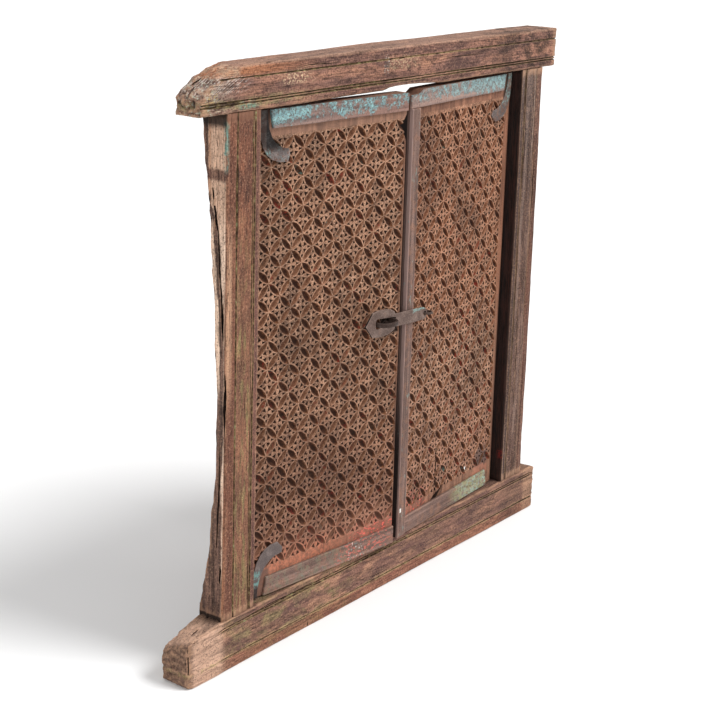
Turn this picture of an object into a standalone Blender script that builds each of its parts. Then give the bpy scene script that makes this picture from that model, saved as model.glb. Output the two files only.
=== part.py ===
"""A carved two-leaf window shutter hung in its heavy timber frame.

Metres, +Z up, the front faces -Y. The origin is the middle of the sill's underside.
Both leaves stand a few degrees ajar, held together by an iron hasp.
"""
import math

import bmesh
import bpy
from mathutils import Matrix, Vector

# Frame
OPENING_WIDTH = 0.748
OPENING_HEIGHT = 0.818
JAMB_WIDTH = 0.075
FRAME_DEPTH = 0.060
LINTEL_HEIGHT = 0.071
LINTEL_DEPTH = 0.066
SILL_HEIGHT = 0.090
LINTEL_LEFT_HORN = 0.061
LINTEL_RIGHT_HORN = 0.038
SILL_LEFT_HORN = 0.083
SILL_RIGHT_HORN = 0.053
TOUCH_GAP = 0.0003

# Moulding that runs round the opening, measured outward from the opening's edge
BEAD_WIDTH = 0.0115
DOUBLE_GROOVE_WIDTH = 0.0070
OUTER_GROOVE_WIDTH = 0.0028
GROOVE_DEPTH = 0.0042
ARRIS_EASE = 0.0022
LINTEL_OUTER_STRIP = 0.0180
JAMB_OUTER_STRIP = 0.0200
SILL_OUTER_STRIP = 0.0225
FILLET_SHARE = 0.2
FILLET_DEPTH = GROOVE_DEPTH * 0.2
GROOVE_LIP_DEPTH = GROOVE_DEPTH * 0.1
OUTER_GROOVE_DEPTH = GROOVE_DEPTH * 0.8

# Wane of the jambs: how deep the outer side face is at its head, foot and waist, how its depth
# grows away from the waist, and the flare of the foot
WANE_HEAD_DEPTH = 0.054
WANE_FOOT_DEPTH = 0.050
WANE_WAIST_DEPTH = 0.018
WANE_WAIST_HEIGHT = 0.43
WANE_SLOPE = 1.40
RIGHT_WANE_WAIST_DEPTH = 0.040
WANE_FOOT_CURVE = 2.1
WANE_HEAD_CURVE = 1.6
BARK_WAVE = 0.0012
BARK_WAVE_RATE = 37.0
FOOT_FLARE = 0.003
FOOT_FLARE_HEIGHT = 1 / 6
FOOT_FLARE_CURVE = 1.5
LEFT_JAMB_STEPS = 13
RIGHT_JAMB_STEPS = 9

# Damage to the lintel: the height left at its broken end in front, in the middle and behind, and
# how steeply the break rises there
BREAK_LENGTH = 0.168
BREAK_FRONT_HEIGHT = 0.016
BREAK_MIDDLE_HEIGHT = 0.040
BREAK_BACK_HEIGHT = 0.003
BREAK_FRONT_STEEPNESS = 3.4
BREAK_MIDDLE_STEEPNESS = 3.8
BREAK_BACK_STEEPNESS = 2.6
BREAK_STEPS = 6
HOLLOW_WIDTH = 0.190
HOLLOW_RISE = 0.0075
HOLLOW_CENTRE = 0.028
HOLLOW_SKEW = 0.6
HOLLOW_FLATNESS = 0.8
HOLLOW_STEPS = 10

# The lintel's worn back, as a loss of depth at places along the break, and its slanting right end
LINTEL_BACK_WEAR = ((0.0, 0.0158), (0.2, 0.0066), (1.0, 0.0040))
LINTEL_RIGHT_LEAN = 0.06

# The sill from its left end to its right one. Each line holds a place as a share of the horn, how
# deep the grooves are cut there, how far the top drops in front and behind, and how far the whole
# section draws in. At the right end the place counts back from the end.
SILL_HORN_SECTIONS = (
    (0.00, 0.0, 0.013, 0.042, 0.16),
    (0.05, 0.0, 0.012, 0.039, 0.04),
    (0.14, 0.0, 0.010, 0.034, 0.0),
    (0.40, 0.0, 0.008, 0.025, 0.0),
    (0.82, 0.0, 0.004, 0.015, 0.0),
    (1.00, 0.9, 0.0, 0.011, 0.0),
    (1.35, 1.0, 0.0, 0.0, 0.0),
)
SILL_END_SECTIONS = (
    (0.25, 1.0, 0.0, 0.0, 0.0),
    (0.06, 0.5, 0.003, 0.002, 0.01),
    (0.00, 0.3, 0.008, 0.006, 0.06),
)

# Leaves
LEAF_THICKNESS = 0.026
LEAF_SIDE_GAP = 0.0036
LEAF_MEETING_GAP = 0.0144
LEAF_HEAD_GAP = 0.0050
LEAF_FOOT_GAP = 0.0025
RIGHT_LEAF_EXTRA = 0.0124
LEAF_RECESS = 0.018
LEFT_AJAR_DEG = 5.6
RIGHT_AJAR_DEG = 4.1
PIVOT_RADIUS = 0.008
PIVOT_LENGTH = 0.012
PIVOT_PLAY = 0.0015

# Carved field: petals on the diagonals of square cells
CELL = 0.024
PETAL_WIDTH = 0.0088
PETAL_DEPTH = 0.0048
FIELD_TOP_MARGIN = 0.0430
FIELD_BOTTOM_MARGIN = 0.0475
LEFT_HINGE_MARGIN = 0.0148
LEFT_FREE_MARGIN = 0.0062
RIGHT_HINGE_MARGIN = 0.0264
RIGHT_FREE_MARGIN = 0.0310

# Battens and meeting strip
BATTEN_PROUD = 0.0050
TOP_BATTEN_HEIGHT = 0.030
BOTTOM_BATTEN_HEIGHT = 0.032
BATTEN_HINGE_INSET = 0.034
STRIP_WIDTH = 0.025
STRIP_PROUD = 0.0080
CORNER_DROP = 0.0075
CORNER_DROP_LENGTH = 0.026
CORNER_SLOPE_LENGTH = 0.016
BATTEN_CUT_BACK = 0.0063
PLATE_EASE = 0.0012

# Left leaf's bite, and the right leaf's crack and splintered gap
BITE_DEPTH = 0.011
BITE_HEIGHT = 0.046
BITE_TOP = 0.036
BITE_OUTLINE = (
    (0.003, 0.0), (-0.3, -0.1), (-1.0, -0.42), (-0.62, -0.52), (-0.35, -0.78), (0.003, -1.0),
)
CRACK_WIDTH = 0.0022
CRACK_LENGTH = 0.088
CRACK_DEPTH = 0.014
CRACK_FROM_HINGE = 0.230
SPLINTER_WIDTH = 0.036
SPLINTER_HEIGHT = 0.019
SPLINTER_LIP = 0.004
SPLINTER_STEP = 0.006

# Iron straps
STRAP_WIDTH = 0.021
STRAP_THICKNESS = 0.0025
STRAP_REACH = 0.077
STRAP_DROP = 0.086
STRAP_HINGE_INSET = 0.0095
LEFT_TOP_STRAP_ROOT = 0.0185
NARROW_STRAP_ROOT = 0.0115
LEFT_TOP_STRAP_LEAN = 0.002
LEFT_BOTTOM_STRAP_LEAN = 0.010
RIGHT_TOP_STRAP_LEAN = 0.012
STRAP_OUTER_PULL = (0.7, 1.03)
STRAP_INNER_PULL = (1.12, 0.96)
STRAP_TIP = (0.1, 0.6)

# Hasp, its staple and its ring
HASP_HEIGHT = 0.414
HASP_THICKNESS = 0.003
HASP_CLEARANCE = 0.0008
HASP_ARM_WIDTH = 0.0235
HASP_HEAD_HEIGHT = 0.047
HASP_HEAD_LENGTH = 0.089
HASP_TILT_DEG = 4.0
SLOT_LENGTH = 0.061
SLOT_HEIGHT = 0.0185
SLOT_NARROW_HEIGHT = 0.0120
STAPLE_FROM_FREE_EDGE = 0.048
STAPLE_SPAN = 0.043
STAPLE_RISE = 0.028
STAPLE_BAR_HEIGHT = 0.0075
STAPLE_BAR_THICKNESS = 0.0042
STAPLE_CROWN = 0.72
RING_FROM_FREE_EDGE = 0.064
RING_RADIUS = 0.009
RING_BAR_RADIUS = 0.0021
RING_STANDOFF = 0.0125
RING_EYE_PLAY = 0.0022
HASP_TIP_LENGTH = 0.0294
HASP_BULGE_FROM_TIP = 0.0445
HASP_SHOULDER = ((0.0, 0.30), (0.25, 0.72), (0.8, 0.95))
HASP_NECK_SHARE = 0.98
HASP_HEAD_TURN = math.pi * 0.72
HASP_HEAD_REACH = 0.95
HASP_HEAD_FULLNESS = 1.05
SLOT_CORNER = 0.004
SLOT_END_SHARE = 0.6

# Sizes that follow
HALF_OPENING = OPENING_WIDTH / 2
SILL_TOP = SILL_HEIGHT
LINTEL_FOOT = SILL_TOP + OPENING_HEIGHT
FRONT = -FRAME_DEPTH / 2
JAMB_OUTER = HALF_OPENING + JAMB_WIDTH
LEAF_HEIGHT = OPENING_HEIGHT - LEAF_HEAD_GAP - LEAF_FOOT_GAP
LEAVES_WIDTH = OPENING_WIDTH - 2 * LEAF_SIDE_GAP - LEAF_MEETING_GAP
LEFT_LEAF_WIDTH = (LEAVES_WIDTH - RIGHT_LEAF_EXTRA) / 2
RIGHT_LEAF_WIDTH = (LEAVES_WIDTH + RIGHT_LEAF_EXTRA) / 2
PIVOT_INSET = LEAF_THICKNESS / 2
PIVOT_OUT = HALF_OPENING - LEAF_SIDE_GAP - PIVOT_INSET
PIVOT_Y = FRONT + LEAF_RECESS + LEAF_THICKNESS / 2
LEAF_ANGLES = {-1: -math.radians(LEFT_AJAR_DEG), 1: math.radians(RIGHT_AJAR_DEG)}

# Colours, roughness and metallic values
AGED_WOOD = ((0.23, 0.13, 0.085), 0.82, 0.0)
RAW_WOOD = ((0.35, 0.22, 0.15), 0.85, 0.0)
CARVED_WOOD = ((0.27, 0.145, 0.095), 0.80, 0.0)
TURQUOISE_PAINT = ((0.25, 0.42, 0.40), 0.70, 0.0)
GREY_WOOD = ((0.20, 0.14, 0.12), 0.80, 0.0)
OLD_IRON = ((0.11, 0.09, 0.085), 0.55, 0.75)


def give_finish(piece, finish):
    """A plain surface of the piece's own colour."""
    colour, roughness, metallic = finish
    surface = bpy.data.materials.new(piece.name + "_finish")
    surface.use_nodes = True
    shader = surface.node_tree.nodes["Principled BSDF"]
    shader.inputs["Base Color"].default_value = (*colour, 1.0)
    shader.inputs["Roughness"].default_value = roughness
    shader.inputs["Metallic"].default_value = metallic
    piece.data.materials.append(surface)


def body_from(shape, name, finish=None):
    """Turns a closed bmesh into a named object with its faces pointing out."""
    bmesh.ops.recalc_face_normals(shape, faces=shape.faces)
    bmesh.ops.triangulate(shape, faces=shape.faces)
    mesh = bpy.data.meshes.new(name)
    shape.to_mesh(mesh)
    shape.free()
    piece = bpy.data.objects.new(name, mesh)
    bpy.context.collection.objects.link(piece)
    if finish is not None:
        give_finish(piece, finish)
    return piece


def swept(name, sections, finish=None):
    """One closed body that runs through rings of equally many points."""
    shape = bmesh.new()
    ring = [shape.verts.new(point) for point in sections[0]]
    edges = list(shape.faces.new(ring).edges)
    for section in sections[1:]:
        grown = bmesh.ops.extrude_edge_only(shape, edges=edges)["geom"]
        fresh = {item for item in grown if isinstance(item, bmesh.types.BMVert)}
        ring = [grown_from(vert, fresh) for vert in ring]
        for vert, point in zip(ring, section):
            vert.co = point
        edges = [
            item for item in grown
            if isinstance(item, bmesh.types.BMEdge) and set(item.verts) <= fresh
        ]
    shape.faces.new(ring)
    return body_from(shape, name, finish)


def grown_from(vert, fresh):
    """The new point that an extrusion made out of this one."""
    return next(
        edge.other_vert(vert) for edge in vert.link_edges if edge.other_vert(vert) in fresh
    )


def round_bar(radius, foot, head, sides=16):
    """A closed upright cylinder between two heights, centred on the Z axis."""
    shape = bmesh.new()
    turn = Matrix.Rotation(math.pi / sides, 4, "Z")
    place = Matrix.Translation((0, 0, (head + foot) / 2))
    bmesh.ops.create_cone(
        shape, cap_ends=True, segments=sides, radius1=radius, radius2=radius,
        depth=head - foot, matrix=place @ turn,
    )
    return shape


def combine(piece, tool, operation):
    """Cuts a tool out of a piece, or joins it on, and puts the tool out of sight."""
    tool.hide_render = True
    tool.display_type = "WIRE"
    change = piece.modifiers.new(tool.name, "BOOLEAN")
    change.operation = operation
    change.solver = "EXACT"
    change.object = tool


# Frame

def moulding(width, outer_strip):
    """The moulded face as (distance from the opening's edge, depth below the face)."""
    fillet = DOUBLE_GROOVE_WIDTH * FILLET_SHARE
    groove = (DOUBLE_GROOVE_WIDTH - fillet) / 4
    start = BEAD_WIDTH
    outer = width - outer_strip
    return [
        (0.0, ARRIS_EASE),
        (ARRIS_EASE, 0.0),
        (start, 0.0),
        (start + groove, GROOVE_DEPTH),
        (start + 2 * groove, FILLET_DEPTH),
        (start + 2 * groove + fillet, FILLET_DEPTH),
        (start + 3 * groove + fillet, GROOVE_DEPTH),
        (start + DOUBLE_GROOVE_WIDTH, GROOVE_LIP_DEPTH),
        (outer - OUTER_GROOVE_WIDTH, 0.0),
        (outer - OUTER_GROOVE_WIDTH / 2, OUTER_GROOVE_DEPTH),
        (outer, FILLET_DEPTH),
        (width - ARRIS_EASE, FILLET_DEPTH),
        (width, FILLET_DEPTH + ARRIS_EASE),
    ]


def pivot_socket(name, side, mouth, deep):
    """The tool that bores a socket for a leaf's pivot, from mouth to deep."""
    low, high = min(mouth, deep), max(mouth, deep)
    tool = body_from(round_bar(PIVOT_RADIUS + PIVOT_PLAY, low, high), name)
    tool.location = (side * PIVOT_OUT, PIVOT_Y, 0.0)
    return tool


def make_lintel():
    """The head timber: moulded face, broken left end, worn hollow over the meeting leaves."""
    left = -JAMB_OUTER - LINTEL_LEFT_HORN
    right = JAMB_OUTER + LINTEL_RIGHT_HORN
    top = LINTEL_FOOT + LINTEL_HEIGHT
    back = FRONT + LINTEL_DEPTH
    face = moulding(LINTEL_HEIGHT, LINTEL_OUTER_STRIP)

    def section(x, back_loss, lean):
        ring = [(x + lean * share, FRONT + depth, LINTEL_FOOT + share) for share, depth in face]
        ring.append((x + lean * LINTEL_HEIGHT, back - back_loss, top - back_loss / 2))
        ring.append((x, back - back_loss, LINTEL_FOOT))
        return ring

    sections = [section(left + BREAK_LENGTH * share, loss, 0.0) for share, loss in LINTEL_BACK_WEAR]
    sections += [section(0.0, 0.0, 0.0), section(right, 0.0, LINTEL_RIGHT_LEAN)]
    lintel = swept("lintel", sections, AGED_WOOD)
    combine(lintel, broken_end_tool(left, top, back), "DIFFERENCE")
    combine(lintel, hollow_tool(back), "DIFFERENCE")
    for side in (-1, 1):
        deep = LINTEL_FOOT + PIVOT_LENGTH + PIVOT_PLAY
        socket = pivot_socket(f"head_socket_{side}", side, LINTEL_FOOT - PIVOT_PLAY, deep)
        combine(lintel, socket, "DIFFERENCE")
    return lintel


def broken_end_tool(left, top, back):
    """The oblique break: the horn's upper corner is gone, its back edge even more so."""
    beyond = ARRIS_EASE * 3
    rings = []
    for y, rest, steepness in (
        (FRONT - beyond, BREAK_FRONT_HEIGHT, BREAK_FRONT_STEEPNESS),
        ((FRONT + back) / 2, BREAK_MIDDLE_HEIGHT, BREAK_MIDDLE_STEEPNESS),
        (back + beyond, BREAK_BACK_HEIGHT, BREAK_BACK_STEEPNESS),
    ):
        ring = [(left - 2 * beyond, y, LINTEL_FOOT + rest)]
        for step in range(BREAK_STEPS + 1):
            share = step / BREAK_STEPS
            rise = 1 - (1 - share) ** steepness
            z = LINTEL_FOOT + rest + (LINTEL_HEIGHT - rest) * rise
            ring.append((left + share * BREAK_LENGTH, y, z))
        ring.append((left + BREAK_LENGTH, y, top + 2 * beyond))
        ring.append((left - 2 * beyond, y, top + 2 * beyond))
        rings.append(ring)
    return swept("broken_end_tool", rings)


def hollow_tool(back):
    """A shallow scoop out of the lintel's lower edge, steeper at its left."""
    beyond = ARRIS_EASE * 3
    rings = []
    for y in (FRONT - beyond, back + beyond):
        ring = []
        for step in range(HOLLOW_STEPS + 1):
            share = step / HOLLOW_STEPS
            rise = math.sin(math.pi * share ** HOLLOW_SKEW) ** HOLLOW_FLATNESS
            x = HOLLOW_CENTRE + (share - 0.5) * HOLLOW_WIDTH
            ring.append((x, y, LINTEL_FOOT - ARRIS_EASE / 2 + rise * HOLLOW_RISE))
        ring.append((ring[-1][0], y, LINTEL_FOOT - beyond))
        ring.append((ring[0][0], y, LINTEL_FOOT - beyond))
        rings.append(ring)
    return swept("hollow_tool", rings)


def make_sill():
    """The foot timber: moulded between the jambs, with a knotty rounded horn on the left."""
    back = FRONT + FRAME_DEPTH
    face = moulding(SILL_HEIGHT, SILL_OUTER_STRIP)
    left = -JAMB_OUTER - SILL_LEFT_HORN
    right = JAMB_OUTER + SILL_RIGHT_HORN

    def section(x, cut, front_drop, back_drop, pull):
        """cut deepens the grooves, the drops lower the top, and pull draws the ring in."""
        ring = []
        for share, depth in face:
            up = (SILL_HEIGHT - share) / SILL_HEIGHT
            z = SILL_TOP - share - front_drop * up
            eased = depth if share in (face[0][0], face[-1][0]) else depth * cut
            ring.append((x, FRONT + eased, z))
        ring.append((x, back, 0.0))
        ring.append((x, back, SILL_TOP - back_drop))
        centre = Vector((x, (FRONT + back) / 2, SILL_HEIGHT / 2))
        return [centre + (Vector(point) - centre) * (1 - pull) for point in ring]

    sections = [
        section(left + SILL_LEFT_HORN * share, *shape) for share, *shape in SILL_HORN_SECTIONS
    ]
    sections += [
        section(right - SILL_RIGHT_HORN * share, *shape) for share, *shape in SILL_END_SECTIONS
    ]
    sill = swept("sill", sections, AGED_WOOD)
    for side in (-1, 1):
        deep = SILL_TOP - PIVOT_LENGTH - PIVOT_PLAY
        socket = pivot_socket(f"foot_socket_{side}", side, SILL_TOP + PIVOT_PLAY, deep)
        combine(sill, socket, "DIFFERENCE")
    return sill


def wane_depth(share, waist_depth):
    """Depth of the jamb's outer side at a share of its height, with a slight bark wave."""
    waist = WANE_WAIST_HEIGHT
    if share < waist:
        swell = (WANE_FOOT_DEPTH - waist_depth) * (1 - share / waist) ** WANE_FOOT_CURVE
    else:
        rise = (share - waist) / (1 - waist)
        swell = (WANE_HEAD_DEPTH - waist_depth) * rise ** WANE_HEAD_CURVE
    return waist_depth + swell + BARK_WAVE * math.sin(share * BARK_WAVE_RATE)


def make_jamb(name, side, waist_depth, flare, steps):
    """An upright: moulded face, square inner side, waney outer back corner."""
    foot = SILL_TOP + TOUCH_GAP
    head = LINTEL_FOOT - TOUCH_GAP
    back = FRONT + FRAME_DEPTH
    face = moulding(JAMB_WIDTH, JAMB_OUTER_STRIP)
    sections = []
    for step in range(steps + 1):
        share = step / steps
        z = foot + (head - foot) * share
        spread = flare * max(0.0, 1 - share / FOOT_FLARE_HEIGHT) ** FOOT_FLARE_CURVE
        depth = wane_depth(share, waist_depth)
        runout = (FRAME_DEPTH - depth) * WANE_SLOPE
        outer = JAMB_OUTER + spread
        ring = [(side * (HALF_OPENING + out), FRONT + low, z) for out, low in face[:-2]]
        ring += [
            (side * (outer - JAMB_WIDTH + out), FRONT + low, z) for out, low in face[-2:]
        ]
        ring.append((side * outer, FRONT + depth, z))
        ring.append((side * (outer - runout), back, z))
        ring.append((side * HALF_OPENING, back, z))
        sections.append(ring)
    return swept(name, sections, RAW_WOOD)


# Leaves. Leaf points are (distance from the hinge edge, depth behind the face, height over the
# leaf's foot). side is -1 for the left leaf and 1 for the right one.

def leaf_local(side, across, depth, up):
    """A leaf point in the leaf's own frame, whose origin is its pivot at the sill's top."""
    x = side * (PIVOT_INSET - across)
    return Vector((x, depth - LEAF_THICKNESS / 2, LEAF_FOOT_GAP + up))


def leaf_matrix(side):
    """The leaf's frame as it stands ajar."""
    place = Matrix.Translation((side * PIVOT_OUT, PIVOT_Y, SILL_TOP))
    return place @ Matrix.Rotation(LEAF_ANGLES[side], 4, "Z")


def leaf_world(side, across, depth, up):
    """A leaf point in the world."""
    return leaf_matrix(side) @ leaf_local(side, across, depth, up)


def hang(piece, pivot):
    """Puts a piece modelled in leaf points on its leaf's pivot."""
    piece.parent = pivot


def make_pivot(name, side):
    """The empty on a leaf's pivot axis, turned as far as the leaf stands ajar."""
    pivot = bpy.data.objects.new(name, None)
    pivot.location = (side * PIVOT_OUT, PIVOT_Y, SILL_TOP)
    pivot.rotation_euler = (0.0, 0.0, LEAF_ANGLES[side])
    bpy.context.collection.objects.link(pivot)
    return pivot


def even_lines(start, end, cell):
    """Lines that split a stretch into whole cells as near to the wanted size as they go."""
    count = max(2, round((end - start) / cell))
    return [start + (end - start) * step / count for step in range(count + 1)]


def carve_field(shape, side, columns, rows):
    """The carved field: a pit with four facets along one diagonal of each cell."""
    lattice = {
        (i, j): shape.verts.new(leaf_local(side, across, 0.0, up))
        for i, across in enumerate(columns) for j, up in enumerate(rows)
    }
    last_row = len(rows) - 2
    last_column = len(columns) - 2
    for i in range(last_column + 1):
        for j in range(last_row + 1):
            corners = [lattice[i, j], lattice[i + 1, j], lattice[i + 1, j + 1], lattice[i, j + 1]]
            from_left = i if side < 0 else last_column - i
            rising = (from_left + last_row - j) % 2 == 0
            if rising == (side > 0):
                corners = corners[1:] + corners[:1]
            carve_petal(shape, corners)
    return lattice


def carve_petal(shape, corners):
    """One pit whose tips are the first and third corners."""
    tip, bank, far_tip, far_bank = corners
    middle = (tip.co + far_tip.co) / 2
    across = (bank.co - far_bank.co).normalized() * PETAL_WIDTH / 2
    near = shape.verts.new(middle + across)
    far = shape.verts.new(middle - across)
    floor = shape.verts.new(middle + Vector((0.0, PETAL_DEPTH, 0.0)))
    for loop in (
        (tip, near, floor), (near, far_tip, floor), (far_tip, far, floor), (far, tip, floor),
        (tip, bank, near), (bank, far_tip, near), (far_tip, far_bank, far), (far_bank, tip, far),
    ):
        shape.faces.new(loop)


def fan(shape, line, first, second):
    """Fills between a row of points and two corners beyond its ends."""
    half = (len(line) - 1) // 2
    for step, (near, far) in enumerate(zip(line, line[1:])):
        shape.faces.new((near, far, first if step < half else second))
    shape.faces.new((line[half], second, first))


def make_board(name, side, width, hinge_margin, free_margin):
    """A leaf's board: carved face, round hinge edge, pivots carved in one with it."""
    columns = even_lines(hinge_margin, width - free_margin, CELL)
    rows = even_lines(FIELD_BOTTOM_MARGIN, LEAF_HEIGHT - FIELD_TOP_MARGIN, CELL)
    shape = bmesh.new()
    lattice = carve_field(shape, side, columns, rows)

    radius = LEAF_THICKNESS / 2
    turns = 6
    plan = [(width, 0.0), (width, LEAF_THICKNESS)]
    for turn in range(turns + 1):
        angle = math.pi * turn / turns
        plan.append((radius - radius * math.sin(angle), radius + radius * math.cos(angle)))
    rings = [
        [shape.verts.new(leaf_local(side, across, depth, up)) for across, depth in plan]
        for up in (0.0, LEAF_HEIGHT)
    ]
    low, high = rings
    for i in range(len(plan) - 1):
        shape.faces.new((low[i], low[i + 1], high[i + 1], high[i]))
    shape.faces.new(low)
    shape.faces.new(high)

    far_column = len(columns) - 1
    top_row = len(rows) - 1
    hinge_line = [lattice[0, j] for j in range(top_row + 1)]
    free_line = [lattice[far_column, j] for j in range(top_row + 1)]
    foot_line = [lattice[i, 0] for i in range(far_column + 1)]
    head_line = [lattice[i, top_row] for i in range(far_column + 1)]
    fan(shape, hinge_line, low[-1], high[-1])
    fan(shape, free_line, low[0], high[0])
    fan(shape, foot_line, low[-1], low[0])
    fan(shape, head_line, high[-1], high[0])
    board = body_from(shape, name, CARVED_WOOD)

    foot = -PIVOT_LENGTH
    head = OPENING_HEIGHT + PIVOT_LENGTH
    sunk = PIVOT_LENGTH / 2
    spans = ((foot, LEAF_FOOT_GAP + sunk), (OPENING_HEIGHT - LEAF_HEAD_GAP - sunk, head))
    for end, (start, stop) in zip(("foot", "head"), spans):
        tool = body_from(round_bar(PIVOT_RADIUS, start, stop), f"{name}_{end}_pivot")
        tool.parent = board
        combine(board, tool, "UNION")
    return board


def leaf_prism(name, side, outline, front, back, finish=None):
    """A flat plate of a leaf: an outline of (across, up) points between two depths."""
    rings = [
        [leaf_local(side, across, depth, up) for across, up in outline]
        for depth in (front, back)
    ]
    return swept(name, rings, finish)


def eased_plate(name, side, outline, proud, finish):
    """A plate that lies on the leaf's face, its front arris eased all round."""
    middle = Vector((0.0, 0.0))
    for point in outline:
        middle += Vector(point)
    middle /= len(outline)
    shrunk = []
    for point in outline:
        inward = (middle - Vector(point)).normalized() * PLATE_EASE
        shrunk.append((point[0] + inward[0], point[1] + inward[1]))
    rings = [
        [leaf_local(side, across, -TOUCH_GAP, up) for across, up in outline],
        [leaf_local(side, across, PLATE_EASE - proud, up) for across, up in outline],
        [leaf_local(side, across, -proud, up) for across, up in shrunk],
    ]
    return swept(name, rings, finish)


def cut_leaf(piece, tool):
    """Cuts a tool modelled in leaf points out of a piece of the same leaf."""
    tool.parent = piece
    combine(piece, tool, "DIFFERENCE")


def batten_outlines(width, free_inset):
    """The top and the bottom batten of a leaf, each cut back where the strap passes."""
    top = LEAF_HEIGHT - TOP_BATTEN_HEIGHT
    low = BOTTOM_BATTEN_HEIGHT
    inset = BATTEN_HINGE_INSET
    slant = inset + BATTEN_CUT_BACK
    end = width - free_inset
    head = [(slant, top), (width, top), (width, LEAF_HEIGHT), (inset, LEAF_HEIGHT)]
    foot = [(inset, 0.0), (end, 0.0), (end, low), (slant, low)]
    return head, foot


def make_left_leaf(pivot):
    """The left leaf: board, two battens, two straps and the staple for the hasp."""
    side = -1
    width = LEFT_LEAF_WIDTH
    board = make_board("left_leaf", side, width, LEFT_HINGE_MARGIN, LEFT_FREE_MARGIN)
    bite_top = LEAF_HEIGHT - BITE_TOP
    outline = [(width + out * BITE_DEPTH, bite_top + up * BITE_HEIGHT) for out, up in BITE_OUTLINE]
    outline += [(width + BITE_DEPTH, bite_top - BITE_HEIGHT), (width + BITE_DEPTH, bite_top)]
    beyond = LEAF_THICKNESS / 4
    tool = leaf_prism("bite_tool", side, outline, -beyond, LEAF_THICKNESS + beyond)
    cut_leaf(board, tool)
    head, foot = batten_outlines(width, 0.0)
    pieces = [
        board,
        eased_plate("left_leaf_top_batten", side, head, BATTEN_PROUD, TURQUOISE_PAINT),
        eased_plate("left_leaf_bottom_batten", side, foot, BATTEN_PROUD, GREY_WOOD),
        make_strap("left_top_strap", side, True, LEFT_TOP_STRAP_ROOT, LEFT_TOP_STRAP_LEAN),
        make_strap("left_bottom_strap", side, False, NARROW_STRAP_ROOT, LEFT_BOTTOM_STRAP_LEAN),
        make_staple(side),
    ]
    for piece in pieces:
        hang(piece, pivot)


def make_right_leaf(pivot):
    """The right leaf: board, two battens, the meeting strip, one strap and the hasp's ring."""
    side = 1
    width = RIGHT_LEAF_WIDTH
    board = make_board("right_leaf", side, width, RIGHT_HINGE_MARGIN, RIGHT_FREE_MARGIN)
    beyond = LEAF_THICKNESS / 4
    cracked = BOTTOM_BATTEN_HEIGHT
    at = CRACK_FROM_HINGE
    crack = [
        (at - CRACK_WIDTH / 2, cracked), (at + CRACK_WIDTH / 2, cracked),
        (at + CRACK_WIDTH, cracked + CRACK_LENGTH * 0.55), (at, cracked + CRACK_LENGTH),
    ]
    splinter = [
        (at + SPLINTER_WIDTH * 0.5, cracked - SPLINTER_LIP),
        (at + SPLINTER_WIDTH * 0.1, cracked + SPLINTER_STEP),
        (at - SPLINTER_WIDTH, cracked + SPLINTER_HEIGHT),
        (at - SPLINTER_WIDTH * 0.4, cracked),
        (at - SPLINTER_WIDTH * 0.3, cracked - SPLINTER_LIP),
    ]
    cut_leaf(board, leaf_prism("crack_tool", side, crack, -beyond, CRACK_DEPTH))
    cut_leaf(board, leaf_prism("splinter_tool", side, splinter, -beyond, CRACK_DEPTH))
    low = LEAF_HEIGHT - CORNER_DROP
    step = width - CORNER_DROP_LENGTH
    slope = step - CORNER_SLOPE_LENGTH
    drop = [
        (width + beyond, low), (step, low), (slope, LEAF_HEIGHT + 2 * TOUCH_GAP),
        (step, LEAF_HEIGHT + beyond), (width + beyond, LEAF_HEIGHT + beyond),
    ]
    cut_leaf(board, leaf_prism("corner_tool", side, drop, -beyond, LEAF_THICKNESS + beyond))
    head, foot = batten_outlines(width, STRIP_WIDTH + TOUCH_GAP)
    head[2:3] = [(width, low), (step, low), (slope, LEAF_HEIGHT)]
    strip_head = LEAF_HEIGHT - TOP_BATTEN_HEIGHT - TOUCH_GAP
    inner = width - STRIP_WIDTH
    strip = [(inner, 0.0), (width, 0.0), (width, strip_head), (inner, strip_head)]
    pieces = [
        board,
        eased_plate("right_leaf_top_batten", side, head, BATTEN_PROUD, TURQUOISE_PAINT),
        eased_plate("right_leaf_bottom_batten", side, foot, BATTEN_PROUD, GREY_WOOD),
        eased_plate("meeting_strip", side, strip, STRIP_PROUD, GREY_WOOD),
        make_strap("right_top_strap", side, True, NARROW_STRAP_ROOT, RIGHT_TOP_STRAP_LEAN),
        make_ring(side),
    ]
    for piece in pieces:
        hang(piece, pivot)


def bow(start, pull, end, steps=7):
    """Points along a curve that leaves its start towards the pull and comes in from it."""
    points = []
    for step in range(steps + 1):
        t = step / steps
        weights = ((1 - t) ** 2, 2 * t * (1 - t), t ** 2)
        points.append(tuple(
            sum(weight * point[axis] for weight, point in zip(weights, (start, pull, end)))
            for axis in (0, 1)
        ))
    return points


def make_strap(name, side, at_head, root_width, end_lean):
    """A sickle-shaped strap: along the hinge edge, then bending in across the carving."""
    near = STRAP_HINGE_INSET
    far = near + root_width
    inner_drop = STRAP_DROP - STRAP_WIDTH
    outer_pull = (near * STRAP_OUTER_PULL[0], STRAP_DROP * STRAP_OUTER_PULL[1])
    inner_pull = (far * STRAP_INNER_PULL[0], inner_drop * STRAP_INNER_PULL[1])
    outer = bow((near, 0.0), outer_pull, (STRAP_REACH - end_lean, STRAP_DROP))
    inner = bow((far, 0.0), inner_pull, (STRAP_REACH, inner_drop))
    tip = (STRAP_REACH + STRAP_WIDTH * STRAP_TIP[0], STRAP_DROP - STRAP_WIDTH * STRAP_TIP[1])
    outline = outer + [tip] + inner[::-1]
    if at_head:
        points = [(across, LEAF_HEIGHT - down) for across, down in outline]
    else:
        points = outline
    return leaf_prism(name, side, points, -TOUCH_GAP, -STRAP_THICKNESS, OLD_IRON)


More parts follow.
